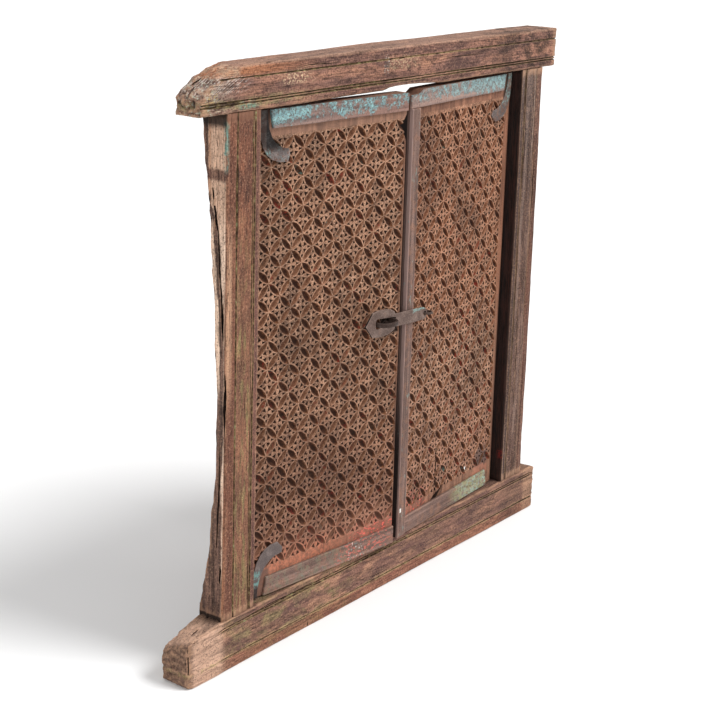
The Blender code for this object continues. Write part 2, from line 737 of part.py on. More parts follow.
def staple_centre():
    """The staple's middle as (across, up) leaf points: level with the middle of the slot."""
    across = LEFT_LEAF_WIDTH - STAPLE_FROM_FREE_EDGE
    distance = (leaf_world(-1, across, 0.0, 0.0) - ring_centre_at(0.0)).to_2d().length
    up = HASP_HEIGHT - LEAF_FOOT_GAP + math.tan(math.radians(HASP_TILT_DEG)) * distance
    return across, up


def ring_centre_at(up):
    """The middle of the hasp's ring in the world, at a height over the leaf's foot."""
    return leaf_world(1, RIGHT_LEAF_WIDTH - RING_FROM_FREE_EDGE, -RING_STANDOFF, up)


def make_staple(side):
    """A flat iron bow that stands out through the hasp's slot."""
    across, up = staple_centre()
    half = STAPLE_SPAN / 2
    straight = STAPLE_RISE - half * STAPLE_CROWN
    spine = [(-half, 0.0, -1.0, 0.0)]
    turns = 10
    for turn in range(turns + 1):
        angle = math.pi * turn / turns
        out = (-half * math.cos(angle), straight + half * STAPLE_CROWN * math.sin(angle))
        normal = Vector((-math.cos(angle) * STAPLE_CROWN, math.sin(angle))).normalized()
        spine.append((*out, normal[0], normal[1]))
    spine.append((half, 0.0, 1.0, 0.0))
    sections = []
    for along, out, side_way, out_way in spine:
        ring = []
        for thick, high in ((-1, -1), (1, -1), (1, 1), (-1, 1)):
            offset = thick * STAPLE_BAR_THICKNESS / 2
            place = (
                across + along + side_way * offset,
                -TOUCH_GAP - out - out_way * offset,
                up + high * STAPLE_BAR_HEIGHT / 2,
            )
            ring.append(leaf_local(side, *place))
        sections.append(ring)
    return swept("hasp_staple", sections, OLD_IRON)


def make_ring(side):
    """The eye spike on the right leaf, a level ring that the hasp's end turns round."""
    across = RIGHT_LEAF_WIDTH - RING_FROM_FREE_EDGE
    up = HASP_HEIGHT - LEAF_FOOT_GAP
    centre = leaf_local(side, across, -RING_STANDOFF, up)
    turns, sides = 16, 6
    shape = bmesh.new()
    loops = []
    for turn in range(turns):
        angle = 2 * math.pi * turn / turns
        loop = []
        for corner in range(sides):
            tilt = 2 * math.pi * corner / sides
            reach = RING_RADIUS + RING_BAR_RADIUS * math.cos(tilt)
            lift = RING_BAR_RADIUS * math.sin(tilt)
            spot = Vector((reach * math.cos(angle), reach * math.sin(angle), lift))
            loop.append(shape.verts.new(centre + spot))
        loops.append(loop)
    for loop, following in zip(loops, loops[1:] + loops[:1]):
        for corner in range(sides):
            after = (corner + 1) % sides
            shape.faces.new((loop[corner], loop[after], following[after], following[corner]))
    ring = body_from(shape, "hasp_ring", OLD_IRON)
    shank = RING_BAR_RADIUS * 1.2
    root = RING_STANDOFF - RING_RADIUS
    outline = [
        (across - shank, up - shank), (across + shank, up - shank),
        (across + shank, up + shank), (across - shank, up + shank),
    ]
    tool = leaf_prism("ring_shank", side, outline, -TOUCH_GAP, -root)
    tool.parent = ring
    combine(ring, tool, "UNION")
    return ring


# Hasp

def hasp_direction():
    """The way the hasp lies at rest, as an angle about Z: just clear of the meeting strip."""
    ring = ring_centre_at(0.0)
    arris = leaf_world(1, RIGHT_LEAF_WIDTH, -STRIP_PROUD, 0.0)
    to_arris = (arris - ring).to_2d()
    bearing = math.atan2(to_arris.y, to_arris.x)
    clear = HASP_THICKNESS / 2 + HASP_CLEARANCE
    return bearing + math.asin(clear / to_arris.length)


def make_hasp():
    """The pointed plate on its arm; its end is bored for the ring, its head slotted."""
    centre = ring_centre_at(0.0)
    spot = leaf_world(-1, LEFT_LEAF_WIDTH - STAPLE_FROM_FREE_EDGE, 0.0, 0.0)
    slot_at = (spot - centre).to_2d().length
    slot_end = slot_at + SLOT_LENGTH / 2
    slot_start = slot_at - SLOT_LENGTH / 2
    tip = slot_end + HASP_TIP_LENGTH
    neck = tip - HASP_HEAD_LENGTH
    arm = HASP_ARM_WIDTH / 2
    head = HASP_HEAD_HEIGHT / 2
    lean = math.tan(math.radians(HASP_TILT_DEG))
    eye = RING_BAR_RADIUS + RING_EYE_PLAY
    rim = RING_RADIUS - eye * 1.5

    outline = [(rim + arm * out, arm * high) for out, high in HASP_SHOULDER]
    outline += [(neck / 2, arm), (neck, arm * HASP_NECK_SHARE)]
    turns = 6
    bulge = tip - HASP_BULGE_FROM_TIP
    for turn in range(1, turns + 1):
        angle = HASP_HEAD_TURN * turn / turns
        along = neck + (bulge - neck) * (1 - math.cos(angle)) * HASP_HEAD_REACH
        swell = min(1.0, math.sin(angle) * HASP_HEAD_FULLNESS)
        outline.append((along, arm + (head - arm) * swell))
    outline.append((tip, 0.0))
    lower = [(along, -high) for along, high in outline[-2::-1]]
    outline += lower

    def plate_ring(points, out):
        return [(-along, out, high + along * lean) for along, high in points]

    half = HASP_THICKNESS / 2
    sections = [plate_ring(outline, -half), plate_ring(outline, half)]
    hasp = swept("hasp", sections, OLD_IRON)
    hasp.location = centre.to_2d().to_3d() + Vector((0.0, 0.0, SILL_TOP + HASP_HEIGHT))
    hasp.rotation_euler = (0.0, 0.0, hasp_direction() - math.pi)

    beyond = HASP_THICKNESS
    narrow, tall = SLOT_NARROW_HEIGHT / 2, SLOT_HEIGHT / 2
    end_half = tall * SLOT_END_SHARE
    slot = [
        (slot_start, -narrow), (slot_end - SLOT_CORNER, -tall), (slot_end, -end_half),
        (slot_end, end_half), (slot_end - SLOT_CORNER, tall), (slot_start, narrow),
    ]
    slot_tool = swept("slot_tool", [plate_ring(slot, -beyond), plate_ring(slot, beyond)])
    sides = 12
    bore = []
    for side in range(sides):
        angle = 2 * math.pi * side / sides
        bore.append((RING_RADIUS + eye * math.cos(angle), eye * math.sin(angle)))
    bore_tool = swept("bore_tool", [plate_ring(bore, -beyond), plate_ring(bore, beyond)])
    for tool in (slot_tool, bore_tool):
        tool.parent = hasp
        combine(hasp, tool, "DIFFERENCE")
    return hasp


def main():
    for item in list(bpy.data.objects):
        bpy.data.objects.remove(item, do_unlink=True)
    make_lintel()
    make_sill()
    make_jamb("left_jamb", -1, WANE_WAIST_DEPTH, FOOT_FLARE, LEFT_JAMB_STEPS)
    make_jamb("right_jamb", 1, RIGHT_WANE_WAIST_DEPTH, FOOT_FLARE / 3, RIGHT_JAMB_STEPS)
    make_left_leaf(make_pivot("left_pivot", -1))
    make_right_leaf(make_pivot("right_pivot", 1))
    make_hasp()


main()
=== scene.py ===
"""Carved window shutter: the looks of its timbers, carved boards, battens and ironwork."""
import math

import bmesh
import bpy
from mathutils import Matrix, Vector


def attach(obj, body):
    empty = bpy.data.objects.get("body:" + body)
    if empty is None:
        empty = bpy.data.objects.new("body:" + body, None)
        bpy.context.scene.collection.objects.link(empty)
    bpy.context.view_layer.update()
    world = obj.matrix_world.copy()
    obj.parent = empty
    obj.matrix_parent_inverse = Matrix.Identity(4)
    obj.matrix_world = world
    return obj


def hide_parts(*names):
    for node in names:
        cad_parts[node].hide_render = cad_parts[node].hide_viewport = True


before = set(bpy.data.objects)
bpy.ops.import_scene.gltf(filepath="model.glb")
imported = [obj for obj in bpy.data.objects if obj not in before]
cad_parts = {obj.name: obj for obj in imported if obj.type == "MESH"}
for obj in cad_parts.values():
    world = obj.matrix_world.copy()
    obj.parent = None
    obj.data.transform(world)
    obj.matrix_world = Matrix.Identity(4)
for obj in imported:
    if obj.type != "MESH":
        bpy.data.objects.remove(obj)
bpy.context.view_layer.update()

# Where the leaves hang in metres, how far each stands open, and their front face in its own frame.
PIVOTS = {"left": Vector((-0.3574, 0.001, 0.09)), "right": Vector((0.3574, 0.001, 0.09))}
AJAR = {"left": math.radians(-5.6), "right": math.radians(4.1)}
FACE = -0.013

# The carved field in a leaf's own frame: its cells, petals and chips, and how unevenly a hand cut them.
CELL = 0.024
FIELD_LEFT = {"left": 0.0018, "right": -0.3254}
FIELD_FOOT = 0.050
COLUMNS = {"left": 14, "right": 13}
ROWS = 30
COARSE_DEPTH = 0.0052
PETAL_LENGTH = CELL * math.sqrt(2) * 0.95
PETAL_HALF_WIDTH = 0.0051
LIP = 0.0006
PIT_DEPTH = 0.0038
PIT_FLOOR = 0.45
PIT_MARGIN = 0.15
HAND = 0.0026
SLIP = 0.0017
BITE = 0.0014
AXIS_PIT = (0.0056, 0.0084)
AXIS_PIT_REACH = 0.575
CORNER_PIT = (0.0088, 0.0084)
CORNER_PIT_REACH = 0.216
FIELD_HEIGHT = ROWS * CELL

# The frame's front plane, and the turn that lays a pattern's X along an upright piece.
FRONT = -0.030
UPRIGHT = (0, math.pi / 2, 0)

# How close points merge, how even faces join up, and how far outside the field its edges may lie.
MERGE = 1e-6
FLAT = math.radians(0.3)
SLACK = 1e-4


def leaf_matrix(side):
    """Takes a leaf's own frame to the shutter's."""
    return Matrix.Translation(PIVOTS[side]) @ Matrix.Rotation(AJAR[side], 4, "Z")


# Working at the bench.

def deselect():
    bpy.ops.object.select_all(action="DESELECT")


def only(piece):
    deselect()
    piece.select_set(True)
    bpy.context.view_layer.objects.active = piece


def pick_all():
    bpy.ops.mesh.select_all(action="SELECT")


def take_up(piece):
    """Opens a piece for editing, selected all over."""
    only(piece)
    bpy.ops.object.mode_set(mode="EDIT")
    bpy.ops.mesh.select_mode(type="VERT")
    pick_all()


def put_down():
    bpy.ops.object.mode_set(mode="OBJECT")


def work(piece, kind, **settings):
    """Gives a piece one modifier and applies it."""
    modifier = piece.modifiers.new(kind, kind)
    for name, value in settings.items():
        setattr(modifier, name, value)
    only(piece)
    bpy.ops.object.modifier_apply(modifier=modifier.name)


def settle(piece):
    only(piece)
    bpy.ops.object.transform_apply(location=True, rotation=True, scale=True)


def join(pieces):
    deselect()
    for piece in pieces:
        piece.select_set(True)
    bpy.context.view_layer.objects.active = pieces[0]
    bpy.ops.object.join()
    return pieces[0]


def copy_of(node, name):
    """A merged copy of a CAD node to work on."""
    piece = bpy.data.objects.new(name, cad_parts[node].data.copy())
    bpy.context.scene.collection.objects.link(piece)
    piece.data.name = name
    piece.data.materials.clear()
    take_up(piece)
    bpy.ops.mesh.remove_doubles(threshold=MERGE)
    pick_all()
    bpy.ops.mesh.dissolve_limited(angle_limit=FLAT)
    put_down()
    return piece


def discard(piece):
    bpy.data.objects.remove(piece, do_unlink=True)


def cut(piece, tool):
    """Takes the tool's shape out of the piece; the cut faces keep the tool's finish."""
    work(piece, "BOOLEAN", operation="DIFFERENCE", solver="MANIFOLD", material_mode="TRANSFER", object=tool)
    discard(tool)


def cloud(name, size, depth=2, kind="GRAYSCALE"):
    texture = bpy.data.textures.new(name, "CLOUDS")
    texture.noise_scale = size
    texture.noise_depth = depth
    texture.cloud_type = kind
    return texture


def push(piece, texture, strength, direction="NORMAL", stretch=None, group=None, place=(0, 0, 0)):
    """Moves the surface by a texture, which may be stretched along the grain."""
    settings = {"texture": texture, "strength": strength, "mid_level": 0.5, "direction": direction}
    if group:
        settings["vertex_group"] = group
    if not stretch:
        work(piece, "DISPLACE", **settings)
        return
    guide = bpy.data.objects.new("guide", None)
    bpy.context.scene.collection.objects.link(guide)
    guide.location = place
    guide.scale = stretch
    bpy.context.view_layer.update()
    work(piece, "DISPLACE", texture_coords="OBJECT", texture_coords_object=guide, **settings)
    discard(guide)


def stand_for(piece, node, body, slot):
    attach(piece, body)
    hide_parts(node)


def smooth(piece, degrees=35):
    only(piece)
    bpy.ops.object.shade_smooth_by_angle(angle=math.radians(degrees))


# Mixing finishes.

def tint(red, green, blue):
    """A colour as it looks, 0 to 255, as a shader wants it."""
    parts = [value / 255 for value in (red, green, blue)]
    parts = [p / 12.92 if p <= 0.04045 else ((p + 0.055) / 1.055) ** 2.4 for p in parts]
    return (*parts, 1.0)


def tree_of(*values):
    """The node tree that the sockets among some values belong to."""
    return next(value.id_data for value in values if isinstance(value, bpy.types.NodeSocket))


def feed(socket, value):
    if isinstance(value, bpy.types.NodeSocket):
        socket.id_data.links.new(value, socket)
    else:
        socket.default_value = value


def add(tree, kind, values=None, **settings):
    node = tree.nodes.new(kind)
    for name, value in settings.items():
        setattr(node, name, value)
    for name, value in (values or {}).items():
        feed(node.inputs[name], value)
    return node


def figure(operation, first, second=0.0):
    """One step of arithmetic on masks and numbers."""
    node = add(tree_of(first, second), "ShaderNodeMath", {0: first, 1: second}, operation=operation)
    return node.outputs[0]


def times(*values):
    """The product of masks and shares."""
    result = values[0]
    for value in values[1:]:
        result = figure("MULTIPLY", result, value)
    return result


def layer(share, under, over, kind="MIX"):
    """One colour laid over another where share is 1."""
    node = add(tree_of(share, under, over), "ShaderNodeMix", {0: share, 6: under, 7: over},
               data_type="RGBA", blend_type=kind)
    return node.outputs[2]


def stained(under, tone, *shares):
    """A colour with another laid over it as thickly as the product of the shares. The other is a
    tone, 0 to 255, or comes from a node."""
    over = tone if isinstance(tone, bpy.types.NodeSocket) else tint(*tone)
    return layer(times(*shares), under, over)


def flecked(under, noise, low, high, share, tone):
    """A colour with a tone laid over it where a noise goes past low towards high."""
    return stained(under, tone, step(noise, low, high), share)


def marked(colour, marks):
    """A colour with marks laid over it in turn, each a tone and its shares."""
    for tone, *shares in marks:
        colour = stained(colour, tone, *shares)
    return colour


def stretched(where, sizes):
    """Places as multiples of a size along each axis, which draws a pattern out along the longest."""
    scale = tuple(1 / size for size in sizes)
    return add(where.id_data, "ShaderNodeMapping", {"Vector": where, "Scale": scale}).outputs[0]


def turned(where, turn):
    return add(where.id_data, "ShaderNodeMapping", {"Vector": where, "Rotation": turn}).outputs[0]


def spots(where, scale=1.0, detail=3.0, rough=0.55, warp=0.0):
    node = add(where.id_data, "ShaderNodeTexNoise", {
        "Vector": where, "Scale": scale, "Detail": detail, "Roughness": rough, "Distortion": warp})
    return node.outputs[0]


def step(value, low, high):
    """0 below low, 1 above high, eased between; low may be the larger."""
    node = add(tree_of(value), "ShaderNodeMapRange", {"Value": value, "From Min": low, "From Max": high},
               interpolation_type="SMOOTHSTEP")
    return node.outputs[0]


def between(value, low, high, ease):
    """1 between low and high, easing off to 0 outside."""
    return times(step(value, low - ease, low + ease), step(value, high + ease, high - ease))


def shades(value, stops):
    node = add(value.id_data, "ShaderNodeValToRGB", {"Fac": value})
    marks = node.color_ramp.elements
    while len(marks) < len(stops):
        marks.new(0.5)
    for mark, (place, colour) in zip(marks, stops):
        mark.position = place
        mark.color = colour
    return node.outputs[0]


def tones_at(places, *tones):
    """Stops for shades: a tone as it looks, 0 to 255, at each place."""
    return [(place, tint(*tone)) for place, tone in zip(places, tones)]


def group(name, numbers, masks):
    """An empty node group that is given places, as Where, and some numbers, and gives out masks."""
    tree = bpy.data.node_groups.new(name, "ShaderNodeTree")
    tree.interface.new_socket(name="Where", in_out="INPUT", socket_type="NodeSocketVector")
    for label, value in numbers.items():
        socket = tree.interface.new_socket(name=label, in_out="INPUT", socket_type="NodeSocketFloat")
        socket.default_value = value
    for label in masks:
        tree.interface.new_socket(name=label, in_out="OUTPUT", socket_type="NodeSocketFloat")
    return tree, add(tree, "NodeGroupInput").outputs, add(tree, "NodeGroupOutput").inputs


def use(made, values):
    """The outputs of a node group that is given some values."""
    return add(tree_of(*values.values()), "ShaderNodeGroup", node_tree=made, values=values).outputs


def place_figure(operation, where, value=(0, 0, 0)):
    """What figure does, on the X, Y and Z of places."""
    return add(where.id_data, "ShaderNodeVectorMath", {0: where, 1: value}, operation=operation).outputs[0]


GRAIN_STRETCH = (0.03, 1, 1)


def make_grain():
    """Wood grain that runs along X of what it is given."""
    sizes = {"Fibre": 0.0012, "Streak": 0.009}
    tree, given, out = group("wood_grain", sizes, ("Fibres", "Streaks", "Splits"))
    lean = place_figure("MULTIPLY", given["Where"], GRAIN_STRETCH)
    for label, size, detail in (("Fibres", given["Fibre"], 3.0), ("Streaks", given["Streak"], 2.0)):
        scale = figure("DIVIDE", 1.0, size)
        feed(out[label], spots(lean, scale, detail, 0.6, 0.3))
    split = spots(lean, figure("DIVIDE", 0.55, given["Fibre"]), 2.0, 0.5, 0.6)
    thin = figure("ABSOLUTE", figure("SUBTRACT", split, 0.5))
    feed(out["Splits"], step(thin, 0.022, 0.004))
    return tree


def make_wear():
    """Where the surface stands out or lies deep: worn edges and darker hollows."""
    tree, given, out = group("wear_and_hollows", {"Reach": 0.06}, ("Worn", "Hollows"))
    point = add(tree, "ShaderNodeNewGeometry").outputs["Pointiness"]
    broken = figure("MULTIPLY", figure("SUBTRACT", spots(given["Where"], 180.0, 4.0), 0.5), 0.05)
    point = figure("ADD", point, broken)
    high = figure("ADD", 0.5, given["Reach"])
    low = figure("SUBTRACT", 0.5, given["Reach"])
    feed(out["Worn"], step(point, 0.505, high))
    feed(out["Hollows"], step(point, 0.495, low))
    return tree


def make_flaking():
    """Old paint: where it still covers, and how thick its film is."""
    tree, given, out = group("flaking_paint", {"Cover": 0.5, "Flake": 0.012}, ("Paint", "Film"))
    scale = figure("DIVIDE", 1.0, given["Flake"])
    broad = spots(given["Where"], figure("MULTIPLY", scale, 0.22), 3.0, 0.6, 0.2)
    flaked = spots(given["Where"], scale, 8.0, 0.85)
    value = figure("ADD", times(broad, 0.45), times(flaked, 0.55))
    level = figure("SUBTRACT", figure("ADD", value, given["Cover"]), 0.5)
    feed(out["Paint"], step(level, 0.47, 0.53))
    feed(out["Film"], step(level, 0.46, 0.56))
    return tree


def make_patches():
    """Soft-edged patches of any size."""
    tree, given, out = group("patches", {"Size": 0.05, "Amount": 0.5}, ("Patch",))
    scale = figure("DIVIDE", 1.0, given["Size"])
    value = spots(given["Where"], scale, 4.0, 0.6, 0.5)
    level = figure("SUBTRACT", figure("ADD", value, given["Amount"]), 0.5)
    feed(out["Patch"], step(level, 0.44, 0.60))
    return tree


GRAIN = make_grain()
WEAR = make_wear()
FLAKING = make_flaking()
PATCHES = make_patches()


def patches(where, size, amount):
    return use(PATCHES, {"Where": where, "Size": size, "Amount": amount})["Patch"]


def finish_for(name, shine=0.2, side=None):
    """A new material, its shader and its object's places, which are a leaf's own for a side."""
    material = bpy.data.materials.new(name)
    material.use_nodes = True
    tree = material.node_tree
    tree.nodes.clear()
    shader = add(tree, "ShaderNodeBsdfPrincipled")
    shader.inputs["Specular IOR Level"].default_value = shine
    add(tree, "ShaderNodeOutputMaterial", {"Surface": shader.outputs[0]})
    where = add(tree, "ShaderNodeTexCoord").outputs["Object"]
    if side:
        where = add(tree, "ShaderNodeMapping", {
            "Vector": where, "Location": PIVOTS[side], "Rotation": (0, 0, AJAR[side])},
            vector_type="TEXTURE").outputs[0]
    return material, shader, where


def coat(shader, colour, rough, height=None, relief=0.0, strength=1.0):
    """Gives a shader its colour and roughness, and lifts the surface where height is large."""
    feed(shader.inputs["Base Color"], colour)
    feed(shader.inputs["Roughness"], rough)
    if height is None:
        return
    bump = add(height.id_data, "ShaderNodeBump", {
        "Height": height, "Strength": strength, "Distance": relief})
    feed(shader.inputs["Normal"], bump.outputs[0])


def scattered(where, scale, low, high):
    """Small hard-edged flecks."""
    return step(spots(where, scale, 4.0, 0.65), low, high)


def aged(side, up, colour):
    """What the weather did to a whole board: the left one is darker above a pinker foot, the right
    one redder towards its head."""
    if side == "left":
        colour = layer(1.0, colour, (0.87, 0.87, 0.86, 1), "MULTIPLY")
        colour = stained(colour, (40, 26, 20), between(up, 0.15, 0.36, 0.04), 0.08)
        return stained(colour, (206, 140, 118), step(up, 0.13, 0.05), 0.16)
    shade = layer(step(up, 0.25, 0.45), (0.94, 0.97, 0.98, 1), (0.96, 0.88, 0.84, 1))
    return layer(1.0, colour, shade, "MULTIPLY")


def split(where):
    return add(where.id_data, "ShaderNodeSeparateXYZ", {0: where}).outputs


def dirt_and_painted_shade(side, where, across, up):
    """How darkly old dirt, smoke and rusty stains lie on a leaf, and painted shade behind the hasp's slot and
    beside the head straps.
    """
    stain = patches(stretched(where, (1, 1, 1.6)), 0.10, 0.44)
    dark = times(stain, 0.36)
    if side == "left":
        foul = times(step(up, 0.42, 0.10), step(across, 0.34, 0.20), 0.30)
        # Painted shade on the board behind the hasp's slot.
        rust_and_shade = times(between(across, 0.292, 0.340, 0.005), between(up, 0.396, 0.430, 0.005), 0.97)
        # Painted shade in the gap between the head strap and the head batten.
        strap_gap_shade = times(between(across, 0.0150, 0.0225, 0.0008), step(up, 0.735, 0.760), 0.9)
    else:
        foul = times(step(up, 0.55, 0.70), step(across, -0.20, -0.30), 0.35)
        # On this leaf only a rusty stain, low at the hinge end.
        rust_and_shade = times(between(across, -0.056, -0.010, 0.004), between(up, 0.012, 0.064, 0.006), 0.45)
        # Painted shade in the gap between the head strap and the head batten.
        strap_gap_shade = times(between(across, -0.0215, -0.0080, 0.0008), step(up, 0.735, 0.760), 0.8)
    for share in (foul, rust_and_shade, strap_gap_shade):
        dark = figure("MAXIMUM", dark, share)
    return dark


def chance_of_cell(where, left):
    """One even random number for each carved cell."""
    cell = place_figure("SUBTRACT", where, (left, 0, FIELD_FOOT))
    cell = place_figure("FLOOR", place_figure("DIVIDE", cell, (CELL, 1, CELL)))
    node = add(where.id_data, "ShaderNodeTexWhiteNoise", {"Vector": cell}, noise_dimensions="3D")
    return node.outputs["Value"]


def pit_finish(name, side, tones, heart_tone, rare):
    """The inside of a cut: warm old wood, darkest at the bottom, its lip worn pale. rare is how
    strongly a few cells keep red, dark or turquoise paint."""
    material, shader, where = finish_for(f"{name}_{side}", side=side)
    across, deep, up = split(where)
    mottled = spots(where, 150.0, 4.0, 0.7)
    fine = spots(where, 520.0, 3.0, 0.6)
    colour = shades(mottled, tones_at((0.36, 0.5, 0.64), *tones))
    colour = stained(colour, heart_tone, step(deep, FACE + 0.0014, FACE + 0.0036), 0.75)
    left = FIELD_LEFT[side]
    chance = chance_of_cell(where, left)
    inner = patches(where, 0.007, 0.44)
    if side == "left":
        zone = step(across, left + 0.14, left + 0.02)
        zone = figure("ADD", zone, times(step(up, 0.20, 0.06), step(across, 0.30, 0.12), 2.0))
    else:
        zone = times(step(up, 0.62, 0.26), step(across, -0.26, -0.12), 2.6)
    red = step(figure("ADD", chance, times(zone, 0.16)), 0.86, 0.94)
    colour = stained(colour, (140, 46, 35), red, inner, 0.85 * rare)
    colour = stained(colour, (48, 58, 50), step(chance, 0.09, 0.05), inner, 0.8 * rare)
    colour = stained(colour, (96, 134, 124), between(chance, 0.30, 0.31, 0.006), inner, 0.7 * rare)
    colour = flecked(colour, fine, 0.50, 0.38, 0.5, (30, 15, 9))
    lip = times(step(deep, FACE + 0.0007, FACE + 0.0001), step(mottled, 0.36, 0.50))
    colour = stained(colour, (186, 140, 112), lip, 0.55)
    colour = stained(aged(side, up, colour), (30, 19, 15), dirt_and_painted_shade(side, where, across, up))
    coat(shader, colour, figure("ADD", 0.62, times(fine, 0.3)), figure("ADD", mottled, fine), 0.0007, 0.8)
    return material


def shaded_petal(side):
    tones = ((70, 37, 20), (108, 64, 39), (152, 102, 72))
    return pit_finish("shaded_petal", side, tones, (46, 22, 12), 1.0)


def lit_petal(side):
    tones = ((92, 56, 36), (142, 98, 72), (184, 138, 110))
    return pit_finish("lit_petal", side, tones, (98, 60, 40), 0.7)


def chip_finish(side):
    tones = ((24, 12, 8), (48, 26, 17), (92, 56, 38))
    return pit_finish("chip_wood", side, tones, (16, 8, 5), 0.0)


def right_board_marks(across, deep, up, front, top, medium):
    """The lost lower strap's imprint, the margin rubbed under it, a pale speck, and the free edge's painted
    shade and light.
    """
    imprint = times(between(across, -0.062, -0.014, 0.005), between(up, 0.048, 0.086, 0.006))
    yield (90, 72, 68), imprint, front, 0.85
    rubbed = times(between(across, -0.075, -0.012, 0.008), between(up, 0.028, 0.050, 0.004), front)
    yield (172, 114, 92), rubbed, step(medium, 0.36, 0.50), 0.55
    speck = times(between(across, -0.1045, -0.0995, 0.001), between(up, 0.0565, 0.0625, 0.001))
    yield (226, 226, 222), speck, front
    # Painted shade: the free edge laid near-black for the gap between the leaves; above the foot its front
    # half is laid paler as painted light.
    free_edge_shade = times(step(across, -0.3546, -0.3558), figure("SUBTRACT", 1.0, top))
    yield (30, 20, 17), free_edge_shade, 0.97
    lit_edge = times(free_edge_shade, step(deep, FACE + 0.0045, FACE + 0.0025), step(up, 0.15, 0.35))
    yield (112, 88, 80), lit_edge, 0.8


def left_board_marks(where, across, up, front):
    """The foot margin worn pale, and the darker corner under the hinge."""
    worn_margin = times(step(up, 0.080, 0.060), step(across, 0.26, 0.14), front)
    yield (178, 112, 86), worn_margin, 0.22
    yield (190, 116, 88), worn_margin, scattered(where, 150.0, 0.44, 0.58), 0.55
    corner = times(step(across, 0.040, 0.034), step(up, 0.050, 0.044), front)
    yield (100, 76, 66), corner, 0.8


# Where the tones of a timber or of the worn ridges lie in a broad noise.
WOOD_PLACES = (0.34, 0.46, 0.56, 0.68)


def carved_finish(side):
    """Chip-carved wood: worn light ridges, dirty plain margins, a greyed back, and sides laid dark as old
    wood and painted shade.
    """
    material, shader, where = finish_for(f"carved_wood_{side}", side=side)
    across, deep, up = split(where)
    left = FIELD_LEFT[side]
    right = left + COLUMNS[side] * CELL
    head = FIELD_FOOT + FIELD_HEIGHT
    ease = 0.0015
    field = times(between(across, left, right, ease), between(up, FIELD_FOOT, head, ease))
    grain = use(GRAIN, {"Where": turned(where, UPRIGHT)})
    broad = spots(where, 9.0, 4.0, 0.6)
    medium = spots(where, 95.0, 4.0, 0.7)
    fine = spots(where, 460.0, 4.0, 0.7)
    ridge = shades(broad, tones_at(
        WOOD_PLACES, (114, 84, 66), (144, 107, 84), (172, 127, 100), (148, 110, 86)))
    ridge = flecked(ridge, medium, 0.50, 0.38, 0.75, (84, 56, 42))
    ridge = flecked(ridge, medium, 0.53, 0.64, 0.65, (198, 154, 126))
    ridge = flecked(ridge, fine, 0.48, 0.38, 0.75, (60, 38, 29))
    ridge = flecked(ridge, fine, 0.53, 0.62, 0.6, (222, 182, 158))
    low_field = step(up, 0.36, 0.06)
    ridge = stained(ridge, (152, 84, 66), low_field, 0.22)
    plain = shades(grain["Streaks"], tones_at(
        (0.32, 0.48, 0.68), (100, 68, 54), (134, 94, 74), (160, 116, 92)))
    plain = flecked(plain, fine, 0.50, 0.38, 0.7, (74, 48, 38))
    plain = stained(plain, (52, 34, 27), grain["Splits"], 0.5)
    head_margin = times(step(up, head - 0.002, head + 0.001), 0.22 if side == "left" else 0.10)
    plain = stained(plain, (190, 152, 132), head_margin)
    colour = layer(field, plain, ridge)
    colour = stained(aged(side, up, colour), (44, 29, 23), dirt_and_painted_shade(side, where, across, up))
    # The board's sides laid dark brown, as old wood and as painted shade of the gaps they face; the top edge
    # under the lintel gets little.
    edge = times(figure("SUBTRACT", 1.0, field), step(deep, FACE + 0.0006, FACE + 0.0030))
    top = step(up, 0.770, 0.785)
    colour = stained(colour, (44, 30, 24), edge, figure("SUBTRACT", 0.97, times(top, 0.75)))
    hidden = step(deep, -FACE - 0.004, -FACE - 0.001)
    colour = layer(hidden, colour, stained(plain, (92, 66, 52), grain["Fibres"], 0.5))
    front = step(deep, FACE + 0.007, FACE + 0.005)
    pink_low = 0.085 if side == "right" else 0.075
    pink_end = step(across, 0.20, 0.27) if side == "left" else step(across, -0.22, -0.29)
    pink_zone = times(step(up, pink_low, pink_low - 0.025), front, pink_end)
    colour = stained(colour, (150, 84, 72), pink_zone, 0.25)
    pink = times(pink_zone, scattered(stretched(where, (1.8, 1, 1)), 260.0, 0.54, 0.62))
    colour = stained(colour, (212, 96, 84), pink, 0.85)
    if side == "right":
        marks = right_board_marks(across, deep, up, front, top, medium)
    else:
        marks = left_board_marks(where, across, up, front)
    colour = marked(colour, marks)
    height = figure("ADD", times(grain["Fibres"], 0.6), figure("ADD", times(fine, 0.7), medium))
    coat(shader, colour, figure("ADD", 0.58, times(fine, 0.3)), height, 0.0010)
    return material


def split_finish():
    """The inside of a crack: old dark wood with paler torn fibres."""
    material, shader, where = finish_for("split_wood")
    torn = spots(where, 300.0, 3.0, 0.6)
    colour = shades(torn, tones_at((0.40, 0.60, 0.75), (16, 10, 8), (40, 25, 19), (84, 56, 42)))
    coat(shader, colour, figure("ADD", 0.8, times(torn, 0.15)))
    return material


